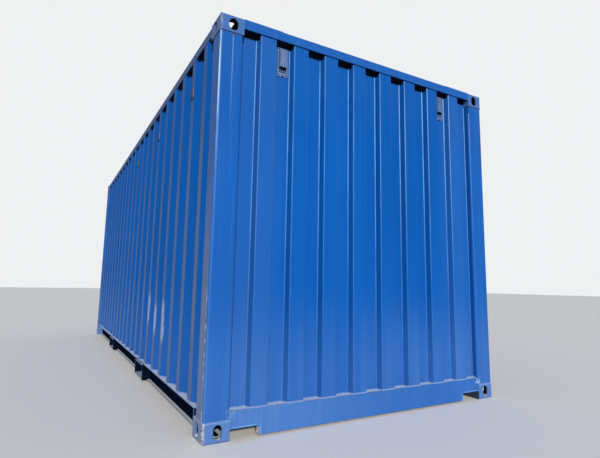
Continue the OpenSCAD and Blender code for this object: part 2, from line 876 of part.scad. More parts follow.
// Hinges: a blade on the leaf's stile, its knuckle, and two lugs on the post
hinge_r = 10;
hinge_inset = 32;
lug_t = 12;
hinge_end = 150;
hinge_step = (leaf_z1 - leaf_z0 - 2 * hinge_end - blade_h) / (hinges - 1);
module door_hinges()
    color(steel)
        for (m = [0, 1], i = [0 : hinges - 1])
            mirror([0, m, 0])
                at_doors()
                    translate([
                        gear_depth - hinge_r, side_y - hinge_inset,
                        leaf_z0 + hinge_end + i * hinge_step
                    ]) {
                        along_z(0, blade_h)
                            union() {
                                circle(r = hinge_r, $fn = 32);
                                translate([0, -blade_l]) square([hinge_r, blade_l]);
                            }
                        for (z = [-lug_t, blade_h])
                            along_z(z, z + lug_t)
                                union() {
                                    circle(r = hinge_r, $fn = 32);
                                    translate([0, -hinge_r])
                                        square([hinge_r, hinge_inset - hinge_edge + hinge_r]);
                                    translate([-hinge_r, 0])
                                        square([2 * hinge_r, hinge_inset - hinge_edge]);
                                }
                    }

module door_gaskets()
    color(rubber)
        for (m = [0, 1])
            mirror([0, m, 0])
                at_doors()
                    along_x(gear_depth + 20, gear_depth + 32)
                        difference() {
                            translate([0, leaf_z0 - leaf_gap])
                                square([leaf_y1 + leaf_gap, leaf_z1 - leaf_z0 + 2 * leaf_gap]);
                            translate([leaf_y0, leaf_z0])
                                square([leaf_y1 - leaf_y0, leaf_z1 - leaf_z0]);
                        }

front_left_bottom_casting();
front_right_bottom_casting();
rear_left_bottom_casting();
rear_right_bottom_casting();
front_left_top_casting();
front_right_top_casting();
rear_left_top_casting();
rear_right_top_casting();
front_left_post();
front_right_post();
rear_left_post();
rear_right_post();
front_top_rail();
front_bottom_rail();
door_header();
door_sill();
left_top_rail();
right_top_rail();
left_bottom_rail();
right_bottom_rail();
cross_members();
fork_pockets();
floor_panels();
front_wall();
left_wall();
right_wall();
roof_panel_1();
roof_panel_2();
roof_panel_3();
roof_panel_4();
roof_panel_5();
roof_end_plates();
front_ventilators();
side_ventilators();
left_door_frame();
right_door_frame();
left_door_panel();
right_door_panel();
left_lock_bars();
right_lock_bars();
lock_handles();
bar_brackets();
cam_keepers();
door_hinges();
door_gaskets();
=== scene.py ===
# %% [markdown]
# # A steel freight container, dressed for its picture
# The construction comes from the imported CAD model, and this script gives it its looks: blue
# marine paint that has faded and gathered dust, rust where the castings are knocked, weld
# beads, screens, bolts and door gear. Everything is in metres, in the CAD model's own frame:
# X along the length with the blank end at its low end, Y to the left wall, Z up.

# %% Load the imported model
import math

import bmesh
import bpy
from mathutils import Matrix, Vector


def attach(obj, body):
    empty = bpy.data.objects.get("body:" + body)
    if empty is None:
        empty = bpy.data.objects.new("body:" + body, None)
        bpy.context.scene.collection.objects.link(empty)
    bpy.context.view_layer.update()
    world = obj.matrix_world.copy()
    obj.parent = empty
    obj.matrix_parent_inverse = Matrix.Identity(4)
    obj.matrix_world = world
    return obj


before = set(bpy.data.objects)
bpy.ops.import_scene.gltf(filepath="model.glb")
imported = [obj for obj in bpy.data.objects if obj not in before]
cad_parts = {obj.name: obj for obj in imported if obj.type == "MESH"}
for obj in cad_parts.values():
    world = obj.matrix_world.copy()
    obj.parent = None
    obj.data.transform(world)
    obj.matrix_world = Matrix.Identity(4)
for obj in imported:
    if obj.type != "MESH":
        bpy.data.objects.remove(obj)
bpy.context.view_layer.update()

# %% [markdown]
# ## The camera
# The photograph was taken from low down, close to the blank end's left corner, with a wide
# lens. The place, the turns and the focal length below come from fitting the container's known
# size to its corners in the picture. A level camera with a small turn on each axis is easier to
# read than a matrix of nine numbers, so the axes are built here from yaw, pitch and roll.

# %% Camera from yaw, pitch and roll
PHOTO_WIDTH = 600
SENSOR = 36.0
FOCAL_PIXELS = 441.06
OFF_CENTRE = (3.88, -6.09)
CAMERA_PLACE = Vector((-5.5281, 2.0244, 0.8905))
YAW, PITCH, ROLL = 0.5203, 0.1392, 0.0162

forward = Vector((math.cos(YAW) * math.cos(PITCH), -math.sin(YAW) * math.cos(PITCH), math.sin(PITCH)))
level = Vector((-math.sin(YAW), -math.cos(YAW), 0.0))
upright = level.cross(forward)
right = level * math.cos(ROLL) + upright * math.sin(ROLL)
above = upright * math.cos(ROLL) - level * math.sin(ROLL)
axes = Matrix((right, above, -forward)).transposed().to_4x4()

camera_data = bpy.data.cameras.new("photo_camera")
camera_data.sensor_width = SENSOR
camera_data.lens = FOCAL_PIXELS / PHOTO_WIDTH * SENSOR
camera_data.shift_x = -OFF_CENTRE[0] / PHOTO_WIDTH
camera_data.shift_y = OFF_CENTRE[1] / PHOTO_WIDTH
camera = bpy.data.objects.new("photo_camera", camera_data)
camera.matrix_world = Matrix.Translation(CAMERA_PLACE) @ axes
bpy.context.collection.objects.link(camera)
bpy.context.scene.camera = camera
print("camera lens:", round(camera_data.lens, 2), "mm")

# %% [markdown]
# ## The sun and two soft boxes
# The sun in the photograph stands low in front of the blank end and a little to its left, so it
# strikes the end wall and only skims the side wall. A sun lamp in the same direction, a few
# degrees wide, keeps that with soft edges. Two soft boxes stand behind the container, one before
# the doors and one beside the right wall, so that the sides which the photograph doesn't show
# can be seen too. Light linking keeps them off the floor, where they would only draw patches.

# %% Sun
SUN_TOWARDS = Vector((0.878, -0.337, -0.342))
SUN_STRENGTH = 3.4
SUN_WIDTH = math.radians(4)

sun_data = bpy.data.lights.new("studio_sun", "SUN")
sun_data.energy = SUN_STRENGTH
sun_data.angle = SUN_WIDTH
sun_data.color = (1.0, 0.96, 0.90)
sun = bpy.data.objects.new("studio_sun", sun_data)
sun.rotation_mode = "QUATERNION"
sun.rotation_quaternion = SUN_TOWARDS.to_track_quat("-Z", "Y")
bpy.context.collection.objects.link(sun)
print("sun from", [round(-v, 2) for v in SUN_TOWARDS])

# %% Soft boxes
not_lit = bpy.data.collections.new("not_lit_by_boxes")


def soft_box(name, place, aim, wide, high, watts):
    box_data = bpy.data.lights.new(name, "AREA")
    box_data.shape = "RECTANGLE"
    box_data.size, box_data.size_y = wide, high
    box_data.energy = watts
    lamp = bpy.data.objects.new(name, box_data)
    lamp.matrix_world = Matrix.Translation(place) @ (
        (Vector(aim) - Vector(place)).to_track_quat("-Z", "Y").to_matrix().to_4x4())
    lamp.light_linking.receiver_collection = not_lit
    bpy.context.collection.objects.link(lamp)


soft_box("door_box", (10.0, -2.4, 3.2), (3.0, 0.0, 1.4), 4.0, 3.0, 260.0)
soft_box("right_box", (2.4, -8.5, 3.6), (0.4, -1.2, 1.4), 6.0, 3.0, 330.0)
print("lamps:", sorted(lamp.name for lamp in bpy.data.lights))

# %% [markdown]
# ## Sky and backdrop
# An even sky fills the shadows. What the camera sees past the floor is the world too, and Light
# Path turns that part into a pale grey, without more light on the container.

# %% Sky
SKY_STRENGTH = 0.36
SKY_COLOUR = (0.62, 0.76, 1.0, 1.0)
PALE = (0.86, 0.87, 0.88, 1.0)

world = bpy.data.worlds.new("studio_sky")
world.use_nodes = True
bpy.context.scene.world = world
sky = world.node_tree
sky.nodes.clear()
rays = sky.nodes.new("ShaderNodeLightPath")
fill = sky.nodes.new("ShaderNodeBackground")
fill.inputs["Color"].default_value = SKY_COLOUR
fill.inputs["Strength"].default_value = SKY_STRENGTH
backdrop = sky.nodes.new("ShaderNodeBackground")
backdrop.inputs["Color"].default_value = PALE
choose = sky.nodes.new("ShaderNodeMixShader")
sky_out = sky.nodes.new("ShaderNodeOutputWorld")
sky.links.new(rays.outputs["Is Camera Ray"], choose.inputs[0])
sky.links.new(fill.outputs[0], choose.inputs[1])
sky.links.new(backdrop.outputs[0], choose.inputs[2])
sky.links.new(choose.outputs[0], sky_out.inputs["Surface"])
bpy.context.scene.view_settings.view_transform = "Standard"
print("sky strength:", SKY_STRENGTH)

# %% [markdown]
# ## A short way to write node materials
# A material in Blender is a graph of nodes. Writing each node and link by hand buries the idea,
# so this helper adds a node, feeds its sockets with values or with other nodes' sockets, and
# hands back the output. Every pattern reads Object coordinates, which are the frame's metres.

# %% Node helper
class Finish:
    def __init__(self, name):
        self.material = bpy.data.materials.new(name)
        self.material.use_nodes = True
        self.tree = self.material.node_tree
        self.shader = self.tree.nodes["Principled BSDF"]
        self.place = self.node("TexCoord", out="Object")

    def feed(self, socket, value):
        if isinstance(value, bpy.types.NodeSocket):
            self.tree.links.new(value, socket)
        else:
            socket.default_value = value

    def node(self, kind, out=0, inputs=(), **settings):
        made = self.tree.nodes.new("ShaderNode" + kind)
        for key, value in settings.items():
            setattr(made, key, value)
        for socket, value in inputs:
            self.feed(made.inputs[socket], value)
        return made.outputs[out]

    def split(self, vector):
        made = self.node("SeparateXYZ", inputs=[(0, vector)]).node
        return made.outputs[0], made.outputs[1], made.outputs[2]

    def noise(self, scale, detail=3.0, roughness=0.55, stretch=(1, 1, 1), shift=(0, 0, 0)):
        spot = self.node("Mapping", inputs=[(0, self.place), ("Location", shift), ("Scale", stretch)])
        return self.node("TexNoise", inputs=[
            ("Vector", spot), ("Scale", scale), ("Detail", detail), ("Roughness", roughness)])

    def math(self, kind, a, b=0.0):
        return self.node("Math", inputs=[(0, a), (1, b)], operation=kind)

    def many(self, kind, values):
        total = values[0]
        for value in values[1:]:
            total = self.math(kind, total, value)
        return total

    def times(self, *values):
        return self.many("MULTIPLY", values)

    def plus(self, *values):
        return self.many("ADD", values)

    def most(self, *values):
        return self.many("MAXIMUM", values)

    def size_of(self, value):
        return self.math("ABSOLUTE", value)

    def mix(self, share, a, b):
        return self.node("Mix", out=2, inputs=[(0, share), (6, a), (7, b)], data_type="RGBA")

    def bump(self, height, strength, distance, under=None):
        inputs = [("Height", height), ("Strength", strength), ("Distance", distance)]
        if under is not None:
            inputs.append(("Normal", under))
        return self.node("Bump", inputs=inputs)

    def set(self, **sockets):
        for name, value in sockets.items():
            self.feed(self.shader.inputs[name.replace("_", " ")], value)
        return self.material


print("node helper:", Finish.__name__)

# %% [markdown]
# ## Masks
# A mask is a number from 0 to 1 that says where a layer shows. All of them come from four small
# shapes: a smooth step between two values, a stripe round a middle, a mask that is only partly
# strong, and the surroundings of a mask.

# %% Shapes of masks
class Masked(Finish):
    def band(self, value, low, high):
        """0 at low and 1 at high, which may be the smaller of the two."""
        return self.node("MapRange", inputs=[(0, value), (1, low), (2, high)],
                         interpolation_type="SMOOTHSTEP")

    def near(self, value, middle, reach):
        """1 at the middle, 0 from the reach outwards."""
        return self.band(self.size_of(self.math("SUBTRACT", value, middle)), reach, reach * 0.4)

    def partly(self, mask, share):
        """The mask, lifted to run from 1 - share to 1."""
        return self.plus(self.times(mask, share), 1.0 - share)

    def without(self, mask, share=1.0):
        """1 away from the mask, and 1 - share inside it."""
        return self.plus(self.times(mask, -share), 1.0)


def srgb(red, green, blue):
    def straight(c):
        c /= 255.0
        return c / 12.92 if c <= 0.04045 else ((c + 0.055) / 1.055) ** 2.4
    return (straight(red), straight(green), straight(blue), 1.0)


print("mid grey in linear light:", round(srgb(128, 128, 128)[0], 3))

# %% [markdown]
# ## Blue paint
# The real paint is one coat of marine blue on blasted steel, and what makes it look real is the
# weather on it. A painted image would need every piece unwrapped, and its marks would stop at
# each piece's edge. So each kind of weather is a mask in the frame's metres and a colour that is
# laid over what is there, and a pattern runs on from one piece to the next. Painted shade,
# shadows, highlights and sheen are laid on in the same way. First come the colours and the few
# places that the masks and the added pieces measure from.

# %% Colours
BLUE = srgb(0, 85, 168)
BLUE_DEEP = srgb(0, 79, 158)
# painted shade: a deeper blue for faces that get less light
PAINTED_SHADE_BLUE = srgb(0, 69, 134)
CHALK = srgb(124, 160, 206)
DUST = srgb(216, 224, 230)
DUST_ON_SILL = srgb(160, 204, 248)
# road film, also standing for a painted sheen on faces that look to the sides
FILM_AND_SHEEN = srgb(168, 164, 128)
GREYED = srgb(118, 116, 100)
# dark seam lines and painted shadow lines
DARK_SEAM_AND_SHADOW = srgb(44, 48, 60)
SOOT_THIN = srgb(92, 94, 90)
RUST = srgb(124, 88, 46)
RUST_DARK = srgb(66, 46, 30)
RUST_WET = srgb(88, 76, 42)
# near black for real grime and for painted shade
GRIME_AND_SHADE = srgb(5, 7, 12)
BARE_STEEL = srgb(150, 136, 110)
# the next two are pale edge wear, weld primer and painted highlights on bends
EDGE_WEAR_AND_HIGHLIGHT = srgb(134, 190, 236)
PRIMER_AND_HIGHLIGHT = srgb(190, 226, 236)
SCRAPED = srgb(206, 216, 236)
WORN_WHITE = srgb(214, 213, 208)
print("blue in linear light:", [round(v, 3) for v in BLUE[:3]])

# %% Places
HALF_L, HALF_W, HEIGHT = 3.029, 1.219, 2.591
CASTING_L, CASTING_W, CASTING_H = 0.178, 0.162, 0.118
HOLE_X, HOLE_Y, HOLE_Z = HALF_L - 0.1025, HALF_W - 0.0895, 0.061
POST_IN, POST_SIDE = HALF_W - CASTING_W, 0.150
SILL_TOP, SIDE_RAIL_TOP, RAIL_LOW = 0.166, 0.162, 2.523
WALL_INSET = 0.010
FRONT_PITCH, FRONT_DEPTH = 0.250, 0.0456
SIDE_PITCH, SIDE_DEPTH = 0.2854, 0.036
FRONT_WALL_X = HALF_L - WALL_INSET - FRONT_DEPTH
CUT_INNER, CUT_OUTER, CUT_TOP = 0.869, 1.057, 0.069
POCKET_X = 1.025
print("half length, half width and height:", HALF_L, HALF_W, HEIGHT)

# %% The coat that all layers lie on
class Paint(Masked):
    """One coat of blue, faded by height, which further layers then cover."""
    def __init__(self, name, chalk, low, top, streak, speckles):
        super().__init__(name)
        self.x, self.y, self.z = self.split(self.place)
        self.nx, self.ny, self.nz = self.split(self.node("NewGeometry", out="True Normal"))
        self.off_x, self.off_y = self.size_of(self.x), self.size_of(self.y)
        self.sideways = self.size_of(self.ny)
        self.speckle = self.noise(210.0, detail=2.0)
        self.patches = self.noise(1.3, detail=5.0, stretch=(1, 1, 0.45))
        self.runs_wide = self.noise(9.0, detail=4.0, stretch=(1, 1, 0.035))
        self.runs_fine = self.noise(46.0, detail=3.0, stretch=(1, 1, 0.018))
        self.near_ground = self.band(self.z, 0.92, 0.25)
        near_roof = self.band(self.z, 1.9, 2.55)
        uneven = self.plus(self.times(self.band(self.runs_wide, 0.3, 0.75), 0.7), 0.65)
        by_height = self.plus(self.times(self.near_ground, low), self.times(near_roof, top))
        streaks = self.times(self.band(self.runs_fine, 0.52, 0.85), streak)
        dotted = self.band(self.speckle, 0.45, 0.62)
        mottled = self.times(dotted, self.plus(self.near_ground, 0.3), speckles)
        self.faded = self.plus(self.times(by_height, uneven), chalk, streaks)
        self.dusty = 1.0
        self.shine = 1.0
        self.dust_tone = DUST
        self.colour = self.mix(self.band(self.patches, 0.3, 0.7), BLUE_DEEP, BLUE)
        self.cover(self.plus(self.faded, mottled), CHALK)

    def cover(self, mask, colour):
        self.colour = self.mix(mask, self.colour, colour)

    def bends(self):
        """Faces that look half along the length and half across it."""
        return self.band(self.size_of(self.times(self.nx, self.ny)), 0.40, 0.455)


def announce(*layers):
    print("layers:", ", ".join(layer.__name__ for layer in layers))


print("coat of paint:", Paint.__name__)

# %% [markdown]
# ## Layers of weather
# Each layer below is a function that takes the paint and an amount. The slopes of the front
# wall, which look to the sides, take a painted shade of deeper blue. Faces along the sides carry
# a grey road film with a painted sheen, heavier low down. Bends take painted highlights,
# undersides take a near black painted shade, dust lies on every ledge, and close under the top
# rails the steel takes a painted shade too.

# %% Painted shade, road film and sheen
# painted shade: the front wall's slopes that look to the sides turn a deeper blue
def slope_shade(p, amount):
    across = p.times(p.band(p.sideways, 0.75, 0.92), p.band(p.nx, -0.2, -0.35))
    kept = p.without(p.near_ground, 0.5)
    p.cover(p.times(across, kept, p.band(p.x, -2.9, -2.95), amount), PAINTED_SHADE_BLUE)


# painted shade: the side walls turn a deeper blue, less near the ground
def deeper(p, amount):
    p.cover(p.times(p.without(p.near_ground, 0.4), amount), PAINTED_SHADE_BLUE)


def paler_ends(p, amount):
    p.cover(p.times(p.band(p.off_y, 0.62, 0.90), amount), CHALK)


# painted shade: the posts' inner return faces turn a deeper blue
def post_return_shade(p, amount):
    inner = p.times(p.band(p.sideways, 0.95, 0.99), p.band(p.off_y, HALF_W - 0.04, HALF_W - 0.06))
    p.cover(p.times(inner, amount), PAINTED_SHADE_BLUE)


def outer_faces(p):
    outer = p.times(p.band(p.sideways, 0.985, 0.999), p.band(p.off_y, HALF_W - 0.032, HALF_W - 0.022))
    return p.times(outer, p.partly(p.band(p.noise(60.0, stretch=(1, 1, 0.1)), 0.3, 0.7), 0.3))


# road film with a painted sheen: grey on faces that look to the sides, heavier low down
def road_film_and_sheen(p, amount):
    height = p.partly(p.band(p.z, 1.9, 0.9), 0.75)
    near_end = p.partly(p.band(p.x, 0.5, -2.0), 0.6)
    p.cover(p.times(outer_faces(p), height, near_end, amount), FILM_AND_SHEEN)


# road film with a painted sheen on the side walls, heaviest at middle height and towards the blank end
def wall_film_and_sheen(p, amount):
    height = p.partly(p.band(p.z, 2.4, 1.4), 0.65)
    washed = p.partly(p.band(p.z, 0.4, 1.2), 0.4)
    near_end = p.partly(p.band(p.x, -1.6, -2.6), 0.35)
    p.cover(p.times(outer_faces(p), height, washed, near_end, amount), FILM_AND_SHEEN)


announce(slope_shade, deeper, paler_ends, post_return_shade, road_film_and_sheen, wall_film_and_sheen)

# %% Bends, shade and dust
# painted highlight: pale lines along the front wall's bends, patchy and brightest high up
def bend_highlights(p, amount):
    broken_up = p.partly(p.band(p.noise(30.0, detail=4.0, stretch=(1, 1, 0.15)), 0.3, 0.6), 0.5)
    height = p.partly(p.band(p.z, 0.3, 2.3), 0.86)
    deep = p.partly(p.band(p.off_x, HALF_L - 0.030, HALF_L - 0.045), 0.4)
    p.cover(p.times(p.bends(), broken_up, height, deep, amount), EDGE_WEAR_AND_HIGHLIGHT)


# painted shade: near black on the walls close under the top rails, behind the end and side faces
def shade_under_rails(p, amount):
    tucked = p.times(p.band(p.z, RAIL_LOW - 0.034, RAIL_LOW - 0.022),
                     p.band(p.z, RAIL_LOW + 0.004, RAIL_LOW + 0.003))
    behind_end = p.times(p.band(p.x, -HALF_L + 0.014, -HALF_L + 0.03), p.band(p.x, -2.9, -2.93))
    behind_side = p.times(p.band(p.off_y, HALF_W - 0.016, HALF_W - 0.026), p.band(p.off_x, 2.93, 2.90))
    p.cover(p.times(tucked, p.most(behind_end, behind_side), amount), GRIME_AND_SHADE)


def foot_dust(p, amount):
    foot = p.times(p.band(p.z, SILL_TOP + 0.012, SILL_TOP + 0.003),
                   p.partly(p.band(p.speckle, 0.35, 0.6), 0.7))
    p.cover(p.times(foot, amount), DUST)


# painted shade: faces that look down turn near black
def underside_shade(p, amount):
    p.cover(p.times(p.band(p.nz, -0.8, -0.95), amount), GRIME_AND_SHADE)


def settled_dust(p, amount):
    uneven = p.partly(p.band(p.speckle, 0.35, 0.6), 0.3)
    p.settled = p.times(p.band(p.nz, 0.55, 0.95), uneven, p.dusty, amount)
    p.cover(p.settled, p.dust_tone)


announce(bend_highlights, shade_under_rails, foot_dust, underside_shade, settled_dust)

# %% [markdown]
# ## The sills
# The front sill stands out past the wall, where the rain sweeps its lip cleaner than the ledges
# behind it and spray has bleached its left half. Its cut-outs are rubbed by the forks of lifting
# frames, and primer shows where the sill is welded to the posts. Noise alone would scatter such
# wear, so each mask is a place first, and noise only breaks up its edge.

# %% Layers of the sills
def swept_sill(p, amount):
    lip = p.times(p.band(p.x, -HALF_L + 0.022, -HALF_L + 0.010), p.band(p.z, 0.30, 0.20))
    p.dusty = p.without(p.times(lip, p.partly(p.band(p.y, 1.2, -0.5), 0.5)), amount)
    p.dust_tone = p.mix(lip, DUST, DUST_ON_SILL)


def splashed_sill(p, amount):
    face = p.times(p.band(p.x, -2.96, -3.0), p.band(p.z, 0.20, 0.17), p.band(p.nx, -0.6, -0.9))
    streaks = p.partly(p.band(p.runs_fine, 0.30, 0.75), 0.3)
    p.cover(p.times(face, p.band(p.y, -0.4, 1.0), streaks, amount), CHALK)


def worn_cutouts(p, amount):
    at_end = p.band(p.off_x, 2.9, 2.95)
    above_it = p.times(p.near(p.off_y, (CUT_INNER + CUT_OUTER) / 2, 0.110),
                       p.near(p.z, CUT_TOP + 0.004, 0.007), at_end)
    beside_it = p.times(p.near(p.off_y, CUT_INNER - 0.004, 0.006),
                        p.band(p.z, CUT_TOP + 0.009, CUT_TOP - 0.009), at_end)
    p.cover(p.times(p.most(above_it, beside_it), p.band(p.speckle, 0.3, 0.5), amount), EDGE_WEAR_AND_HIGHLIGHT)
    strip = p.times(p.near(p.off_y, CUT_INNER + 0.002, 0.010),
                    p.band(p.z, CUT_TOP - 0.007, CUT_TOP - 0.019), at_end,
                    p.band(p.times(p.y, p.ny), 0.5, 0.8))
    p.cover(p.times(strip, p.band(p.noise(40.0, detail=6.0), 0.40, 0.50), 0.85), WORN_WHITE)


def weld_patches(p, amount):
    spot = p.times(p.near(p.off_y, HALF_W - 0.170, 0.040), p.near(p.z, SILL_TOP - 0.016, 0.036),
                   p.band(p.x, -2.93, -2.97))
    blotches = p.band(p.noise(40.0, detail=6.0, roughness=0.7), 0.44, 0.56)
    far = p.partly(p.band(p.y, 0.5, -0.5), 0.75)
    p.cover(p.times(spot, blotches, far, amount), PRIMER_AND_HIGHLIGHT)


announce(swept_sill, splashed_sill, worn_cutouts, weld_patches)

# %% [markdown]
# ## Posts
# A post's outer bend takes a painted highlight, brightest in its upper half, and the left post's
# inner bend a painted shadow line. Low down its side has white chips, and a pale run with a brown
# start comes from the left casting's hole. The bend is found by its normal, because the X and Y
# parts of a normal are both large only there, and that holds for every bend of the walls too.

# %% Layers of the posts
# painted highlight down the outer bend of a post, ragged, brightest in its upper half and on the near side
def corner_highlight(p, amount):
    outer = p.times(p.band(p.off_y, HALF_W - 0.026, HALF_W - 0.020),
                    p.band(p.off_x, HALF_L - 0.026, HALF_L - 0.020))
    ragged = p.partly(p.band(p.noise(34.0, detail=6.0, stretch=(1, 1, 0.12)), 0.34, 0.52), 0.5)
    height = p.partly(p.band(p.z, 1.4, 2.35), 0.88)
    near_side = p.partly(p.band(p.y, -1.0, 1.0), 0.7)
    p.cover(p.times(outer, p.bends(), ragged, height, near_side, amount),
            p.mix(height, EDGE_WEAR_AND_HIGHLIGHT, PRIMER_AND_HIGHLIGHT))


# painted shadow: a dark line along the left post's inner bend
def inner_edge_shadow(p, amount):
    line = p.times(p.near(p.y, POST_IN + 0.002, 0.007), p.band(p.nx, -0.15, -0.25))
    p.cover(p.times(line, amount), DARK_SEAM_AND_SHADOW)


def chips_low(p, amount):
    face = p.times(p.band(p.sideways, 0.9, 0.99), p.band(p.off_y, HALF_W - 0.02, HALF_W - 0.01))
    strip = p.times(face, p.near(p.off_x, HALF_L - 0.030, 0.009), p.band(p.z, 1.0, 0.7))
    dots = p.band(p.noise(52.0, detail=3.0, stretch=(1, 1, 0.7)), 0.51, 0.57)
    p.cover(p.times(strip, dots, amount), WORN_WHITE)


def rust_run(p, amount):
    beside = p.near(p.y, HOLE_Y, 0.005)
    below = p.times(p.band(p.z, 1.7, 2.44), p.band(p.nx, -0.5, -0.9))
    p.cover(p.times(beside, below, p.partly(p.band(p.runs_fine, 0.3, 0.6), 0.5), amount), CHALK)
    brown = p.times(p.near(p.y, HOLE_Y, 0.010), p.near(p.z, HEIGHT - CASTING_H - 0.004, 0.018))
    p.cover(p.times(brown, p.band(p.speckle, 0.26, 0.38), 0.95), RUST_WET)


announce(corner_highlight, inner_edge_shadow, chips_low, rust_run)

# %% [markdown]
# ## Side rails, fork pockets and the scuffed wall
# The channel of a bottom side rail is painted near black inside, a painted shade, and the same
# mask darkens the fork pockets, which also carry a dark coating inside. A top rail is sooty where
# it looks sideways. Three flats of the left wall are scraped white at knee height.
# The scrapes took paint and left no dent, so they are masks and not shapes: a stripe for the
# flat, a height that wanders, and long fine noise that feathers the ends.

# %% Layers of the sides
SCUFFS = ((-1.856, 0.42, 0.75), (-1.570, 0.45, 0.72), (-1.285, 0.50, 0.80))


# painted shade: the web inside a bottom side rail's channel turns near black and loses its shine
def channel_shade(p, amount):
    deep = p.most(p.band(p.off_y, HALF_W - 0.016, HALF_W - 0.030), p.band(p.size_of(p.nx), 0.8, 0.95))
    inside = p.times(deep, p.band(p.off_y, 1.0, 1.1), p.band(p.off_x, 2.87, 2.85))
    web = p.times(inside, p.band(p.z, SIDE_RAIL_TOP - 0.002, SIDE_RAIL_TOP - 0.006),
                  p.band(p.nz, 0.5, 0.3))
    p.cover(p.times(web, amount), GRIME_AND_SHADE)
    p.shine = p.without(web)


def sooty_sides(p, amount):
    above_wall = p.times(p.band(p.sideways, 0.9, 0.99), p.band(p.z, RAIL_LOW - 0.002, RAIL_LOW + 0.002))
    p.cover(p.times(above_wall, amount), SOOT_THIN)


def coated_inside(p, amount):
    p.cover(p.times(p.band(p.off_y, HALF_W - 0.0785, HALF_W - 0.0805), amount), srgb(30, 36, 48))


def scuffed_flats(p, amount):
    """Each scuff is its flat's middle along the wall, then its lowest and highest place."""
    wander = p.times(p.math("SUBTRACT", p.noise(5.0, detail=4.0), 0.5), 0.16)
    marks = []
    for middle, low, high in SCUFFS:
        reach = p.near(p.plus(p.z, wander), (low + high) / 2, (high - low) * 0.60)
        marks.append(p.times(p.near(p.plus(p.x, p.times(wander, 0.2)), middle - 0.010, 0.044), reach))
    grazed = p.noise(110.0, detail=6.0, roughness=0.7, stretch=(1, 1, 0.10))
    feathered = p.partly(p.band(grazed, 0.40, 0.56), 0.8)
    p.cover(p.times(p.most(*marks), feathered, p.band(p.y, HALF_W - 0.027, HALF_W - 0.019), amount),
            SCRAPED)


announce(channel_shade, sooty_sides, coated_inside, scuffed_flats)

# %% [markdown]
# ## Castings
# Castings are knocked by lifting gear, so their outer edges are white and brown, their holes
# have rusty rims, and a dark line follows the seam to the post, with a painted highlight along
# the upper edge of each bottom casting. Inside they are painted near black, a painted shade, and
# the bottom castings' faces towards the sills are near black with grime and painted shade. The
# Geometry node's Pointiness finds edges too, but only on a dense mesh, so here they are found by
# place. A hole is a slot, so its rim is measured from the straight line between its two centres.

# %% Grey, rust and knocks
def rust_tone(p):
    return p.mix(p.band(p.speckle, 0.4, 0.65), RUST_DARK, RUST)


def greyed_and_shaded(p, amount):
    """Duller at the top, most of all on the faces along the sides, and near black with grime and painted
    shade on the bottom castings' faces towards the sills.
    """
    up = p.band(p.z, 0.8, 2.0)
    outward = p.times(p.y, p.ny)
    more = p.plus(p.times(up, 0.8), p.times(up, p.band(outward, 0.9, 1.1), 1.4), 1.0)
    p.cover(p.times(p.partly(p.band(p.patches, 0.3, 0.7), 0.5), more, amount), GREYED)
    # grime and painted shade: the bottom castings' faces towards the sills turn near black
    p.cover(p.times(p.band(outward, -0.6, -0.9), p.band(p.z, 0.14, 0.12), 0.85), srgb(44, 43, 44))


def rust_spots(p, amount):
    seams = p.most(p.near(p.z, CASTING_H, 0.012), p.near(p.z, HEIGHT - CASTING_H, 0.012),
                   p.near(p.z, 0.0, 0.012))
    spots = p.noise(34.0, detail=8.0, roughness=0.72)
    p.cover(p.times(p.band(p.plus(spots, p.times(seams, 0.07)), 0.665, 0.70), amount), rust_tone(p))


def knocked_edges(p, amount):
    corner = p.times(p.band(p.off_x, HALF_L - 0.036, HALF_L - 0.018),
                     p.band(p.off_y, HALF_W - 0.020, HALF_W - 0.006))
    low = p.partly(p.band(p.z, 0.30, 0.20), 0.35)
    ragged = p.band(p.noise(30.0, detail=6.0, roughness=0.7, stretch=(1, 1, 0.3)), 0.42, 0.60)
    bare = p.mix(p.band(p.noise(60.0, detail=4.0), 0.4, 0.6), BARE_STEEL, WORN_WHITE)
    p.cover(p.times(corner, low, ragged, amount), bare)
    browned = p.band(p.noise(44.0, detail=7.0, roughness=0.75, shift=(3, 1, 2)), 0.54, 0.60)
    p.cover(p.times(corner, browned, amount), rust_tone(p))


announce(greyed_and_shaded, rust_spots, knocked_edges)

# %% Seams and holes
def seam_lines(p, amount):
    joint = p.most(p.near(p.z, CASTING_H + 0.001, 0.006), p.near(p.z, HEIGHT - CASTING_H - 0.001, 0.007))
    p.cover(p.times(joint, p.partly(p.band(p.z, 0.5, 1.5), 0.75), amount), DARK_SEAM_AND_SHADOW)
    # painted highlight: a pale line along the upper edge of each bottom casting
    lit = p.times(p.near(p.z, CASTING_H - 0.006, 0.005), p.band(p.speckle, 0.3, 0.5))
    p.cover(p.times(lit, amount, 0.4), EDGE_WEAR_AND_HIGHLIGHT)


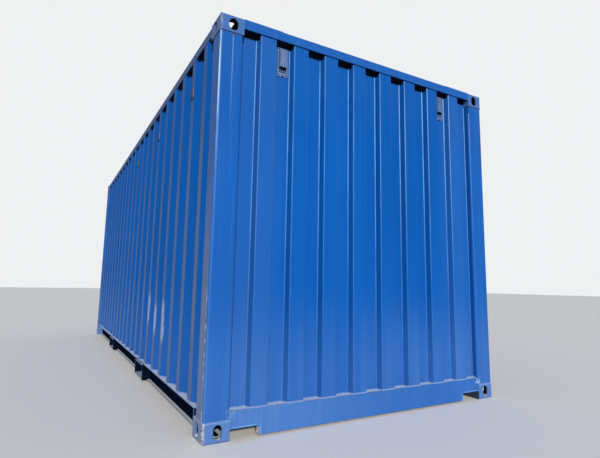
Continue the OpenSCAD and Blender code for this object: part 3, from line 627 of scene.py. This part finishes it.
def hole_rust_and_shade(p, amount):
    rise = p.math("MINIMUM", p.size_of(p.math("SUBTRACT", p.z, HOLE_Z)),
                  p.size_of(p.math("SUBTRACT", p.z, HEIGHT - HOLE_Z)))
    rise = p.most(p.math("SUBTRACT", rise, 0.010), 0.0)
    facing_end = p.band(p.size_of(p.nx), 0.6, 0.9)
    ends = p.times(facing_end, p.math("SUBTRACT", p.off_y, HOLE_Y))
    sides = p.times(p.math("SUBTRACT", 1.0, facing_end), p.math("SUBTRACT", p.off_x, HOLE_X))
    across = p.plus(ends, sides)
    reach = p.math("SQRT", p.plus(p.times(rise, rise), p.times(across, across)))
    ragged = p.band(p.noise(50.0, detail=6.0, roughness=0.7), 0.42, 0.62)
    p.cover(p.times(p.band(reach, 0.038, 0.031), ragged, amount, 0.4), rust_tone(p))
    # painted shade: the hollow inside each casting turns near black, with less dust and no shine
    inside = p.times(p.band(p.off_x, HALF_L - 0.010, HALF_L - 0.016),
                     p.band(p.off_x, HALF_L - CASTING_L + 0.001, HALF_L - CASTING_L + 0.005),
                     p.band(p.off_y, HALF_W - 0.010, HALF_W - 0.016),
                     p.band(p.off_y, POST_IN + 0.001, POST_IN + 0.005),
                     p.band(p.z, HEIGHT - 0.001, HEIGHT - 0.005))
    p.cover(p.times(inside, 0.97), GRIME_AND_SHADE)
    p.dusty = p.without(p.times(inside, p.band(p.z, 0.04, 0.08)), 0.75)
    p.shine = p.without(inside)


announce(seam_lines, hole_rust_and_shade)

# %% [markdown]
# ## The paints
# A paint is now its fading and a list of layers, in the order in which they came to lie, so one
# function serves all eight. The coat itself is half gloss, with a fine peel and the slow waves
# of welded sheet in its bump. Where no layer dulls its shine, the shine is a plain number on the
# shader's own socket, since an exported model keeps that and drops one that is linked.

# %% Coat with its layers
HALF_GLOSS = 0.32
CLEAN_SPECULAR = 0.14


def paint(name, *layers,
          chalk=0.0, low=0.14, top=0.02, streak=0.03, speckles=0.03, dust=0.95, gloss=HALF_GLOSS):
    p = Paint(name, chalk, low, top, streak, speckles)
    for layer, amount in layers:
        layer(p, amount)
    underside_shade(p, 0.97)
    settled_dust(p, dust)
    matt = p.times(p.most(p.settled, p.faded), 0.35)
    rough = p.plus(p.times(p.band(p.patches, 0.2, 0.8), 0.08), matt, gloss)
    peel = p.bump(p.noise(330.0, detail=1.0), 0.12, 0.0006)
    wave = p.bump(p.noise(2.6, detail=2.0, stretch=(1, 1, 0.5)), 0.30, 0.010, under=peel)
    specular = CLEAN_SPECULAR if p.shine == 1.0 else p.times(CLEAN_SPECULAR, p.shine)
    return p.set(Base_Color=p.colour, Roughness=rough, Normal=wave, Specular_IOR_Level=specular)


print("roughness of the clean coat:", HALF_GLOSS)

# %% Paints for each kind of piece
front_paint = paint(
    "front_paint", (slope_shade, 0.5), (paler_ends, 0.05), (bend_highlights, 0.56),
    (shade_under_rails, 0.97), (foot_dust, 0.3), low=0.125)
side_paint = paint(
    "side_paint", (deeper, 0.32), (wall_film_and_sheen, 0.27), (scuffed_flats, 0.72), (shade_under_rails, 0.97),
    (foot_dust, 0.45), low=0.06, top=0.0, streak=0.015, speckles=0.015)
post_paint = paint(
    "post_paint", (post_return_shade, 0.4), (road_film_and_sheen, 0.33), (rust_run, 0.5), (corner_highlight, 0.80),
    (inner_edge_shadow, 0.75), (chips_low, 0.9), (weld_patches, 0.5), chalk=0.030, low=0.10, streak=0.10)
rail_paint = paint(
    "rail_paint", (road_film_and_sheen, 0.20), (sooty_sides, 0.45), (channel_shade, 0.97), (rust_spots, 0.35),
    (splashed_sill, 0.24), (worn_cutouts, 0.3), (swept_sill, 0.60), (weld_patches, 0.4),
    chalk=0.03, low=0.05, streak=0.10, speckles=0.12)
pocket_paint = paint(
    "pocket_paint", (road_film_and_sheen, 0.20), (coated_inside, 0.95), (channel_shade, 0.92),
    chalk=0.045, dust=0.5)
roof_paint = paint("roof_paint", chalk=0.16, dust=0.40, gloss=0.55)
door_paint = paint("door_paint", chalk=0.03)
casting_paint = paint(
    "casting_paint", (greyed_and_shaded, 0.14), (road_film_and_sheen, 0.42), (knocked_edges, 0.8), (seam_lines, 0.9),
    (rust_spots, 0.9), (hole_rust_and_shade, 0.9), (weld_patches, 0.5), chalk=0.15, speckles=0.12)
print("paints:", len(bpy.data.materials))

# %% [markdown]
# ## Other finishes
# The underside has a dark coating, the floor is sealed plywood, the lock bars are zinc coated
# and the seals are black rubber. Zinc shows as large dull flakes, which Voronoi cells give, and
# plywood's grain is a noise that is stretched along the sheet.

# %% Finishes in two tones
def plain_finish(name, light, dark, scale, rough,
                 metallic=0.0, stretch=(1, 1, 1), bump=0.2, cells=False, soiled=0.35):
    f = Masked(name)
    grain = f.noise(scale, detail=6.0, stretch=stretch)
    tone = grain
    if cells:
        spot = f.node("TexVoronoi", out="Color", inputs=[("Vector", f.place), ("Scale", scale)])
        tone = f.node("SeparateXYZ", inputs=[(0, spot)])
    colour = f.mix(f.band(tone, 0.25, 0.75), dark, light)
    dirt = f.band(f.noise(5.0, detail=6.0), 0.45, 0.8)
    colour = f.mix(f.times(dirt, soiled), colour, GRIME_AND_SHADE)
    nz = f.split(f.node("NewGeometry", out="True Normal"))[2]
    colour = f.mix(f.times(f.band(nz, 0.7, 0.95), 0.35), colour, DUST)
    roughness = f.plus(f.times(grain, 0.2), rough)
    return f.set(Base_Color=colour, Roughness=roughness, Normal=f.bump(grain, bump, 0.002),
                 Metallic=metallic)


chassis_coat = plain_finish("chassis_coat", srgb(40, 48, 62), srgb(20, 24, 32), 8.0, 0.55)
plywood = plain_finish(
    "plywood", srgb(150, 108, 70), srgb(104, 70, 44), 14.0, 0.5, stretch=(0.2, 2.5, 1))
print("finishes:", len(bpy.data.materials))

# %% Zinc, rubber, bolts and ventilator finishes
zinc = plain_finish(
    "zinc", srgb(168, 172, 176), srgb(138, 143, 148), 70.0, 0.36,
    metallic=0.85, bump=0.03, cells=True, soiled=0.18)
rubber = plain_finish("rubber", srgb(34, 34, 36), srgb(20, 20, 22), 60.0, 0.6)
vent_finish = plain_finish("vent_finish", srgb(94, 120, 162), srgb(70, 98, 140), 26.0, 0.45)
side_vent_finish = plain_finish("side_vent_finish", srgb(40, 62, 100), srgb(26, 44, 76), 26.0, 0.45)
# dark screen, also painted shade for the openings behind the ventilators' mouths
screen_and_shade = plain_finish("screen_and_shade", srgb(26, 30, 38), srgb(6, 8, 12), 320.0, 0.7, cells=True)
screen_and_shade.node_tree.nodes["Principled BSDF"].inputs["Specular IOR Level"].default_value = 0.05
sealant = plain_finish("sealant", srgb(30, 44, 66), srgb(16, 26, 44), 40.0, 0.5)
bolt_steel = plain_finish(
    "bolt_steel", srgb(120, 122, 124), srgb(80, 78, 76), 120.0, 0.42, metallic=0.8)
print("finishes:", len(bpy.data.materials))

# %% [markdown]
# ## Give each CAD node its finish
# Only the nodes' material slot changes. The castings also take a Bevel modifier, which rounds
# the sharp edges of cast steel so that they catch the light, and leaves the node's own mesh as
# it is. A Weld modifier goes before it, since a CAD node's triangles share no corners.

# %% Dress the CAD nodes
FINISHES = {
    "casting": casting_paint, "post": post_paint, "roof": roof_paint, "front_wall": front_paint,
    "left_wall": side_paint, "right_wall": side_paint, "door_frame": door_paint,
    "door_panel": door_paint, "rail": rail_paint, "header": rail_paint, "sill": rail_paint,
    "cross_members": chassis_coat, "fork_pockets": pocket_paint, "floor": plywood,
    "front_ventilators": vent_finish, "side_ventilators": side_vent_finish,
    "lock": zinc, "brackets": zinc, "keepers": zinc, "hinges": zinc, "gaskets": rubber,
}
for name, node_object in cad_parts.items():
    finish = next(f for key, f in FINISHES.items() if key in name)
    node_object.data.materials.clear()
    node_object.data.materials.append(finish)
    if "casting" in name:
        weld = node_object.modifiers.new("weld", "WELD")
        weld.merge_threshold = 0.00005
        soften = node_object.modifiers.new("soften", "BEVEL")
        soften.width = 0.0025
        soften.segments = 2
        soften.limit_method = "ANGLE"
        soften.angle_limit = math.radians(40)
print("nodes dressed:", len(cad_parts))

# %% [markdown]
# ## Small shapes
# Nearly every added piece is built from four shapes, each made by a bmesh operator in a mesh
# that gathers all of one kind: a box between two corners, a rod between two points, a dome for
# a bolt's head, and a bead, which is a flat grid rolled into the half round of a weld.

# %% Boxes, rods and domes
def box(mesh, low, high):
    low, high = Vector(low), Vector(high)
    size = Matrix.Diagonal((*(high - low), 1.0))
    bmesh.ops.create_cube(mesh, size=1.0, matrix=Matrix.Translation((low + high) / 2) @ size)


def turned_to(axis):
    return Vector(axis).normalized().to_track_quat("Z", "Y").to_matrix().to_4x4()


def rod(mesh, start, end, radius, end_radius=None, sides=16):
    start, end = Vector(start), Vector(end)
    bmesh.ops.create_cone(
        mesh, cap_ends=True, segments=sides, radius1=radius,
        radius2=radius if end_radius is None else end_radius, depth=(end - start).length,
        matrix=Matrix.Translation((start + end) / 2) @ turned_to(end - start))


def dome(mesh, place, axis, radius, height):
    made = bmesh.ops.create_icosphere(mesh, subdivisions=2, radius=1.0)["verts"]
    bmesh.ops.delete(mesh, geom=[v for v in made if v.co.z < -0.05], context="VERTS")
    made = [v for v in made if v.is_valid]
    flat = Matrix.Diagonal((radius, radius, height, 1.0))
    stand = Matrix.Translation(Vector(place)) @ turned_to(axis)
    bmesh.ops.transform(mesh, verts=made, matrix=stand @ flat)


print("shapes:", box.__name__, rod.__name__, dome.__name__)

# %% Beads, and a mesh made into a piece
HALF_ROUND = 1.9


def bead(mesh, start, end, out, radius, step=0.006, around=5):
    """A weld bead from start to end, swelling at each pass of the torch, its faces outwards."""
    start, end, out = Vector(start), Vector(end), Vector(out).normalized()
    run = end - start
    side = out.cross(run.normalized())
    passes = max(2, int(run.length / step))
    made = bmesh.ops.create_grid(mesh, x_segments=passes, y_segments=around, size=1.0)["verts"]
    for v in made:
        share, turn = (v.co.x + 1) / 2, v.co.y * HALF_ROUND
        swell = radius * (1 + 0.18 * math.sin(share * passes * 2.1) + 0.08 * math.sin(share * 37.0 - turn))
        v.co = start + run * share + (side * math.sin(turn) + out * math.cos(turn)) * swell


def surface(name, mesh, finish, smooth=True):
    data = bpy.data.meshes.new(name)
    for face in mesh.faces:
        face.smooth = smooth
    mesh.to_mesh(data)
    mesh.free()
    data.materials.append(finish)
    made = bpy.data.objects.new(name, data)
    bpy.context.collection.objects.link(made)
    print(name, "faces:", len(data.polygons))
    return made


def piece(name, mesh, finish, smooth=True):
    """A finished piece, which moves with the container."""
    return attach(surface(name, mesh, finish, smooth), "root")


print("bead's half turn:", round(math.degrees(HALF_ROUND)), "degrees")

# %% [markdown]
# ## Welds round the castings
# Castings, posts and rails are welded all round. From a few metres a seam shows as a thin dark
# line with a slight swell, and close up as overlapping ripples. A curve with a round section
# would do, but half of it would lie hidden in the steel, and a rolled grid needs no conversion.
# The joints lie in known planes, so a corner's beads are written once and mirrored to the rest.

# %% Seams between castings, posts and rails
SEAM_BEAD, FOOT_BEAD = 0.0022, 0.0075
FACE_X, FACE_Y = HALF_L - 0.003, HALF_W - 0.003
ROUND_END = 0.022
RAIL_IN_TOP, RAIL_IN_BOTTOM = 0.008, 0.003

welds = bmesh.new()
for sx in (-1, 1):
    for sy in (-1, 1):
        for joint in (CASTING_H, HEIGHT - CASTING_H):
            y0, y1 = (HALF_W - ROUND_END, POST_IN + 0.004) if sx < 0 else (HALF_W - 0.003, HALF_W - 0.018)
            bead(welds, (sx * FACE_X, sy * y0, joint), (sx * FACE_X, sy * y1, joint), (sx, 0, 0), SEAM_BEAD)
            bead(welds, (sx * (HALF_L - ROUND_END), sy * FACE_Y, joint),
                 (sx * (HALF_L - POST_SIDE), sy * FACE_Y, joint), (0, sy, 0), SEAM_BEAD)
for sy in (-1, 1):
    seam_y = sy * POST_IN
    foot_x = -HALF_L + WALL_INSET
    bead(welds, (foot_x, seam_y, CASTING_H), (foot_x, seam_y, SILL_TOP + 0.003), (-1, 0, 0), FOOT_BEAD)
    for z0, z1 in ((CUT_TOP + 0.003, SILL_TOP - 0.006), (RAIL_LOW, RAIL_LOW + 0.058)):
        bead(welds, (-HALF_L, seam_y, z0), (-HALF_L, seam_y, z1), (-1, 0, 0), SEAM_BEAD)
    for sx in (-1, 1):
        seam_x = sx * (HALF_L - CASTING_L)
        for z0, z1, inset in ((RAIL_LOW, RAIL_LOW + 0.060, RAIL_IN_TOP),
                              (CASTING_H + 0.002, SIDE_RAIL_TOP - 0.004, RAIL_IN_BOTTOM)):
            y = sy * (HALF_W - inset)
            bead(welds, (seam_x, y, z0), (seam_x, y, z1), (0, sy, 0), SEAM_BEAD)
piece("corner_welds", welds, casting_paint)

# %% [markdown]
# ## Welds along the walls
# The corrugated sheets stand on the bottom rails and hang from the top rails, with a fillet
# weld that follows every recess. The line of the sheet repeats at the wall's pitch, so one
# recess gives four points and the loop moves them along. The front sheet's two ends are welded
# upright to the posts.

# %% The line of a corrugated wall
def wall_points(half, recesses, pitch, floor, slope, face, depth):
    first = -pitch * (recesses - 1) / 2
    points = [(-half, face - depth)]
    for k in range(recesses):
        middle = first + k * pitch
        if k > 0:
            points += [(middle - floor / 2 - slope, face), (middle - floor / 2, face - depth)]
        if k < recesses - 1:
            points += [(middle + floor / 2, face - depth), (middle + floor / 2 + slope, face)]
    return points + [(half, face - depth)]


FRONT_LINE = wall_points(POST_IN, 9, FRONT_PITCH, 0.104, 0.018, HALF_L - WALL_INSET, FRONT_DEPTH)
SIDE_LINE = wall_points(HALF_L - POST_SIDE, 21, SIDE_PITCH, 0.072, 0.068, HALF_W - WALL_INSET, SIDE_DEPTH)
print("points on the lines:", len(FRONT_LINE), len(SIDE_LINE))

# %% Fillet welds that follow the corrugation
wall_welds = bmesh.new()
for z, up in ((SILL_TOP + 0.0005, 0.7), (RAIL_LOW - 0.0005, -0.7)):
    for (u0, v0), (u1, v1) in zip(FRONT_LINE, FRONT_LINE[1:]):
        bead(wall_welds, (-v0, u0, z), (-v1, u1, z), (-1, 0, up), 0.003, step=0.012, around=3)
for z, up in ((SIDE_RAIL_TOP + 0.0005, 0.7), (RAIL_LOW - 0.0005, -0.7)):
    for side in (-1, 1):
        for (u0, v0), (u1, v1) in zip(SIDE_LINE, SIDE_LINE[1:]):
            bead(wall_welds, (u0, side * v0, z), (u1, side * v1, z), (0, side, up), 0.003,
                 step=0.012, around=3)
piece("fillet_welds", wall_welds, side_paint)

upright_welds = bmesh.new()
for sy in (-1, 1):
    y = sy * (POST_IN - 0.002)
    bead(upright_welds, (-FRONT_WALL_X, y, SILL_TOP + 0.004), (-FRONT_WALL_X, y, HEIGHT - CASTING_H),
         (-1, -sy, 0), 0.0045, step=0.012, around=3)
piece("post_welds", upright_welds, front_paint)

# %% [markdown]
# ## The plate in the right post's head
# Both front posts are coped at the head of the return, beside the casting. On the right post the
# photograph shows the gap closed, so a small plate stands in it, just behind the face.

# %% Plate that closes the right post's cope
COPE_H = 0.0658
PLATE_BACK = 0.063
plate_top = HEIGHT - CASTING_H
plate = bmesh.new()
box(plate, (-HALF_L + 0.004, -POST_IN - 0.0055, plate_top - COPE_H),
    (-HALF_L + PLATE_BACK, -POST_IN - 0.0010, plate_top - 0.0005))
piece("cope_plate", plate, post_paint, smooth=False)

# %% [markdown]
# ## Returns inside the cut-outs
# The cut-outs at the ends of the sills take the forks of a lifting frame, and a strip of plate is
# welded round each one behind the sill's face. It is a flat grid that is laid along the cut-out's
# outline, up its straight side, round the corner and along the top, and then given its thickness.
# One bent strip keeps the corner round, where boxes would leave a notch.

# %% Strips behind the sills' cut-outs
CUT_ROUND = 0.016
CUT_FOOT = 0.0135
RETURN_DEEP, RETURN_T = 0.045, 0.004
ARC_STEPS = 6
FRONT_FACE_IN, REAR_FACE_IN = 0.0046, 0.0566
outline = [(CUT_INNER, CUT_FOOT)]
for k in range(ARC_STEPS + 1):
    turn = math.pi / 2 * k / ARC_STEPS
    outline.append((CUT_INNER + CUT_ROUND * (1 - math.cos(turn)), CUT_TOP - CUT_ROUND * (1 - math.sin(turn))))
outline.append((CUT_OUTER - 0.001, CUT_TOP))
spans = len(outline) - 1

returns = bmesh.new()
for sx, face_in in ((-1, FRONT_FACE_IN), (1, REAR_FACE_IN)):
    for sy in (-1, 1):
        made = bmesh.ops.create_grid(returns, x_segments=spans, y_segments=1, size=1.0)["verts"]
        for v in made:
            y, z = outline[round((v.co.x + 1) / 2 * spans)]
            v.co = (sx * (HALF_L - face_in - RETURN_DEEP * (v.co.y + 1) / 2), sy * y, z)
bmesh.ops.recalc_face_normals(returns, faces=returns.faces)
bmesh.ops.solidify(returns, geom=returns.faces, thickness=RETURN_T)
piece("cutout_returns", returns, rail_paint, smooth=False)

# %% [markdown]
# ## Ventilators
# A ventilator is a small hood over a screened opening. The hoods are CAD nodes. Here they get
# the dark screen behind their mouths, which also paints the shade in the opening, louvres, screws
# and the bead of sealant round the edge, which shows as a dark outline. Cutting real slots would
# change the wall, and at this size a dark plate with small raised shapes on it, standing for the
# opening's shade, looks the same.

# %% Fittings of the end wall's ventilators
VENT_X = -FRONT_WALL_X
VENT_YS = (-0.75, 0.75)
VENT_LOW, VENT_HIGH, VENT_HALF = 2.294, 2.500, 0.040
MOUTH_LOW, MOUTH_HIGH = VENT_LOW + 0.053, VENT_LOW + 0.130
HOOD_FOOT = 0.0285
SCREWS = ((VENT_HIGH - 0.007, 0.006), (VENT_LOW + 0.012, 0.005))
THIN_BEAD, TOP_BEAD = 0.0024, 0.0032

screens, louvres, screws, sealing = bmesh.new(), bmesh.new(), bmesh.new(), bmesh.new()
for y in VENT_YS:
    # dark plates: screens and painted shade in the openings
    box(screens, (VENT_X - 0.0012, y - 0.0255, MOUTH_LOW), (VENT_X - 0.0002, y + 0.0255, MOUTH_HIGH))
    box(screens, (VENT_X - 0.0036, y - 0.026, MOUTH_LOW - 0.023), (VENT_X - 0.0029, y + 0.026, MOUTH_LOW))
    box(screens, (VENT_X - 0.0036, y - 0.006, VENT_LOW - 0.002),
        (VENT_X - 0.0005, y + 0.006, VENT_LOW + 0.007))
    for dy in (-0.017, 0.0, 0.017):
        dome(louvres, (VENT_X - 0.0035, y + dy, VENT_LOW + 0.039), (-1, 0, 0), 0.0068, 0.004)
    for z, size in SCREWS:
        for dy in (-0.030, 0.030):
            dome(screws, (VENT_X - 0.003, y + dy, z), (-1, 0, 0), size, size * 0.45)
    for foot_y in (y - HOOD_FOOT, y + HOOD_FOOT):
        bead(sealing, (VENT_X - 0.003, foot_y, MOUTH_LOW), (VENT_X - 0.003, foot_y, VENT_HIGH - 0.022),
             (-1, 0, 0), SEAM_BEAD, around=4)
    for edge_y in (y - VENT_HALF, y + VENT_HALF):
        bead(sealing, (VENT_X, edge_y, VENT_LOW), (VENT_X, edge_y, VENT_HIGH),
             (-1, 0, 0), THIN_BEAD, around=4)
    for z in (VENT_LOW, VENT_HIGH):
        bead(sealing, (VENT_X, y - VENT_HALF, z), (VENT_X, y + VENT_HALF, z), (-1, 0, 0), TOP_BEAD, around=4)
print("ventilators in the end wall:", len(VENT_YS))

# %% Fittings of the side walls' ventilators
SIDE_VENT_XS = [-SIDE_PITCH * k for k in (0.5, 4.5, 8.5)]
SIDE_VENT_LOW, SIDE_VENT_HIGH, SIDE_VENT_HALF = 2.239, 2.305, 0.034
for side in (-1, 1):
    face = side * (HALF_W - WALL_INSET)
    low_y, high_y = sorted((face + side * 0.0002, face + side * 0.0012))
    for x in SIDE_VENT_XS:
        box(screens, (x - 0.030, low_y, SIDE_VENT_LOW - 0.010), (x + 0.030, high_y, SIDE_VENT_HIGH - 0.004))
        for k in range(4):
            slat = (face + side * 0.003, SIDE_VENT_LOW - 0.006 + 0.009 * k)
            rod(louvres, (x - 0.027, *slat), (x + 0.027, *slat), 0.0022, sides=8)
        x0, x1 = x - SIDE_VENT_HALF, x + SIDE_VENT_HALF
        for edge_x in (x0, x1):
            bead(sealing, (edge_x, face, SIDE_VENT_LOW), (edge_x, face, SIDE_VENT_HIGH),
                 (0, side, 0), THIN_BEAD, around=4)
        bead(sealing, (x0, face, SIDE_VENT_HIGH), (x1, face, SIDE_VENT_HIGH),
             (0, side, 0), THIN_BEAD, around=4)
piece("vent_screens_and_shade", screens, screen_and_shade, smooth=False)
piece("vent_louvres", louvres, vent_finish)
piece("vent_screws", screws, sealant)
piece("vent_sealant", sealing, sealant)

# %% [markdown]
# ## Door gear
# Brackets, keepers and hinge blades are bolted to the leaves and to the frame with round-headed
# bolts, two to six to a plate. Each hinge turns on a pin whose head stands on the upper lug, and
# a thin strip above the doors throws the rain clear. There are 96 bolts, so a head is
# half an icosphere pressed flat, which has few faces and still looks round.

# %% Bolts
LEAF_X = HALF_L - 0.052
BAR_YS = (0.290, 0.880)
BRACKET_ZS = (0.194, 0.6720, 1.5084, 2.405)
KEEPER_ZS = (0.068, 2.531)
HINGE_ZS = [0.284 + k * 0.647 for k in range(4)]
HINGE_BOLT_YS = (1.056, 1.098, 1.140)

bolts = bmesh.new()
for side in (-1, 1):
    for bar_y in BAR_YS:
        for z in BRACKET_ZS:
            for dy in (-0.034, 0.034):
                dome(bolts, (LEAF_X + 0.005, side * (bar_y + dy), z), (1, 0, 0), 0.0085, 0.006)
        for z in KEEPER_ZS:
            for dz in (-0.024, 0.024):
                dome(bolts, (LEAF_X + 0.006, side * (bar_y - 0.026), z + dz), (1, 0, 0), 0.007, 0.005)
    for z in HINGE_ZS:
        for y in HINGE_BOLT_YS:
            for dz in (0.022, 0.068):
                dome(bolts, (LEAF_X + 0.010, side * y, z + dz), (1, 0, 0), 0.009, 0.006)
piece("door_bolts", bolts, bolt_steel)

# %% Hinge pins and drip strip
PIN_X, PIN_Y = HALF_L - 0.042, HALF_W - 0.032
PIN_HEAD, PIN_FOOT = (0.102, 0.108), (-0.017, -0.012)
STRIP_HALF, STRIP_X, STRIP_LOW, STRIP_T = 1.05, LEAF_X + 0.030, 2.5775, 0.003

pins, drips = bmesh.new(), bmesh.new()
for side in (-1, 1):
    for z in HINGE_ZS:
        y = side * PIN_Y
        rod(pins, (PIN_X, y, z + PIN_HEAD[0]), (PIN_X, y, z + PIN_HEAD[1]), 0.0085, 0.006)
        rod(pins, (PIN_X, y, z + PIN_FOOT[0]), (PIN_X, y, z + PIN_FOOT[1]), 0.006)
box(drips, (LEAF_X, -STRIP_HALF, STRIP_LOW), (STRIP_X, STRIP_HALF, STRIP_LOW + STRIP_T))
lip_z = STRIP_LOW - STRIP_T / 2
rod(drips, (STRIP_X, -STRIP_HALF, lip_z), (STRIP_X, STRIP_HALF, lip_z), STRIP_T, sides=10)
piece("hinge_pins", pins, bolt_steel)
piece("drip_strip", drips, rail_paint, smooth=False)

# %% [markdown]
# ## Seal lips
# Each leaf's gasket has an outer lip that folds over the gap. It is the black line round the
# doors, so it is a fin of its own, a little in front of the gasket that the CAD model holds.

# %% Gasket lips
LIP_X0, LIP_X1 = HALF_L - 0.062, HALF_L - 0.054
LIP_LOW, LIP_HIGH = 0.134, 2.465
LIP_IN, LIP_OUT = 0.0002, 1.1722
lips = bmesh.new()
for side in (-1, 1):
    for y0, y1, z0, z1 in ((LIP_IN, 0.0042, LIP_LOW, LIP_HIGH), (1.1648, LIP_OUT, LIP_LOW, LIP_HIGH),
                           (LIP_IN, LIP_OUT, 0.1262, 0.1342), (LIP_IN, LIP_OUT, 2.4648, 2.4722)):
        low_y, high_y = sorted((side * y0, side * y1))
        box(lips, (LIP_X0, low_y, z0), (LIP_X1, high_y, z1))
piece("gasket_lips", lips, rubber, smooth=False)

# %% [markdown]
# ## Inside
# The plywood is screwed to every cross member, and rows of countersunk heads show it. Small
# lashing rings hang from the top rails and stand on the bottom rails. A ring is half a turn of
# short rods, which at this size looks the same as a circle swept round by spin.

# %% Floor screws
FLOOR_TOP = 0.178
MEMBER_PITCH, SCREW_PITCH = 0.3, 0.21
POCKET_CLEAR = 0.235
heads = bmesh.new()
for k in range(-9, 10):
    x = MEMBER_PITCH * k
    if abs(abs(x) - POCKET_X) < POCKET_CLEAR:
        continue
    for j in range(-5, 6):
        dome(heads, (x + 0.008, SCREW_PITCH * j, FLOOR_TOP - 0.0005), (0, 0, 1), 0.006, 0.0016)
piece("floor_screws", heads, bolt_steel)

# %% Lashing rings
RING, WIRE = 0.026, 0.005
RING_XS = (-2.4, -1.2, 0.0, 1.2, 2.4)
HALF_TURN = [math.pi * t / 8 for t in range(9)]
rings = bmesh.new()
for side in (-1, 1):
    for x in RING_XS:
        for y, z, way in ((1.120, FLOOR_TOP + 0.004, 1), (1.146, RAIL_LOW + 0.012, -1)):
            spots = [Vector((x + RING * math.cos(t), side * y, z + way * RING * math.sin(t)))
                     for t in HALF_TURN]
            for a, b in zip(spots, spots[1:]):
                rod(rings, a, b, WIRE, sides=10)
piece("lashing_rings", rings, zinc)

# %% Floor of the studio
FLOOR_HALF = 60.0
floor_mesh = bmesh.new()
bmesh.ops.create_grid(floor_mesh, x_segments=1, y_segments=1, size=FLOOR_HALF)
floor_finish = Finish("pale_floor")
floor_finish.set(Base_Color=(0.95, 0.91, 0.86, 1.0), Roughness=0.8)
studio_floor = surface("studio_floor", floor_mesh, floor_finish.material)
not_lit.objects.link(studio_floor)
not_lit.collection_objects[0].light_linking.link_state = "EXCLUDE"
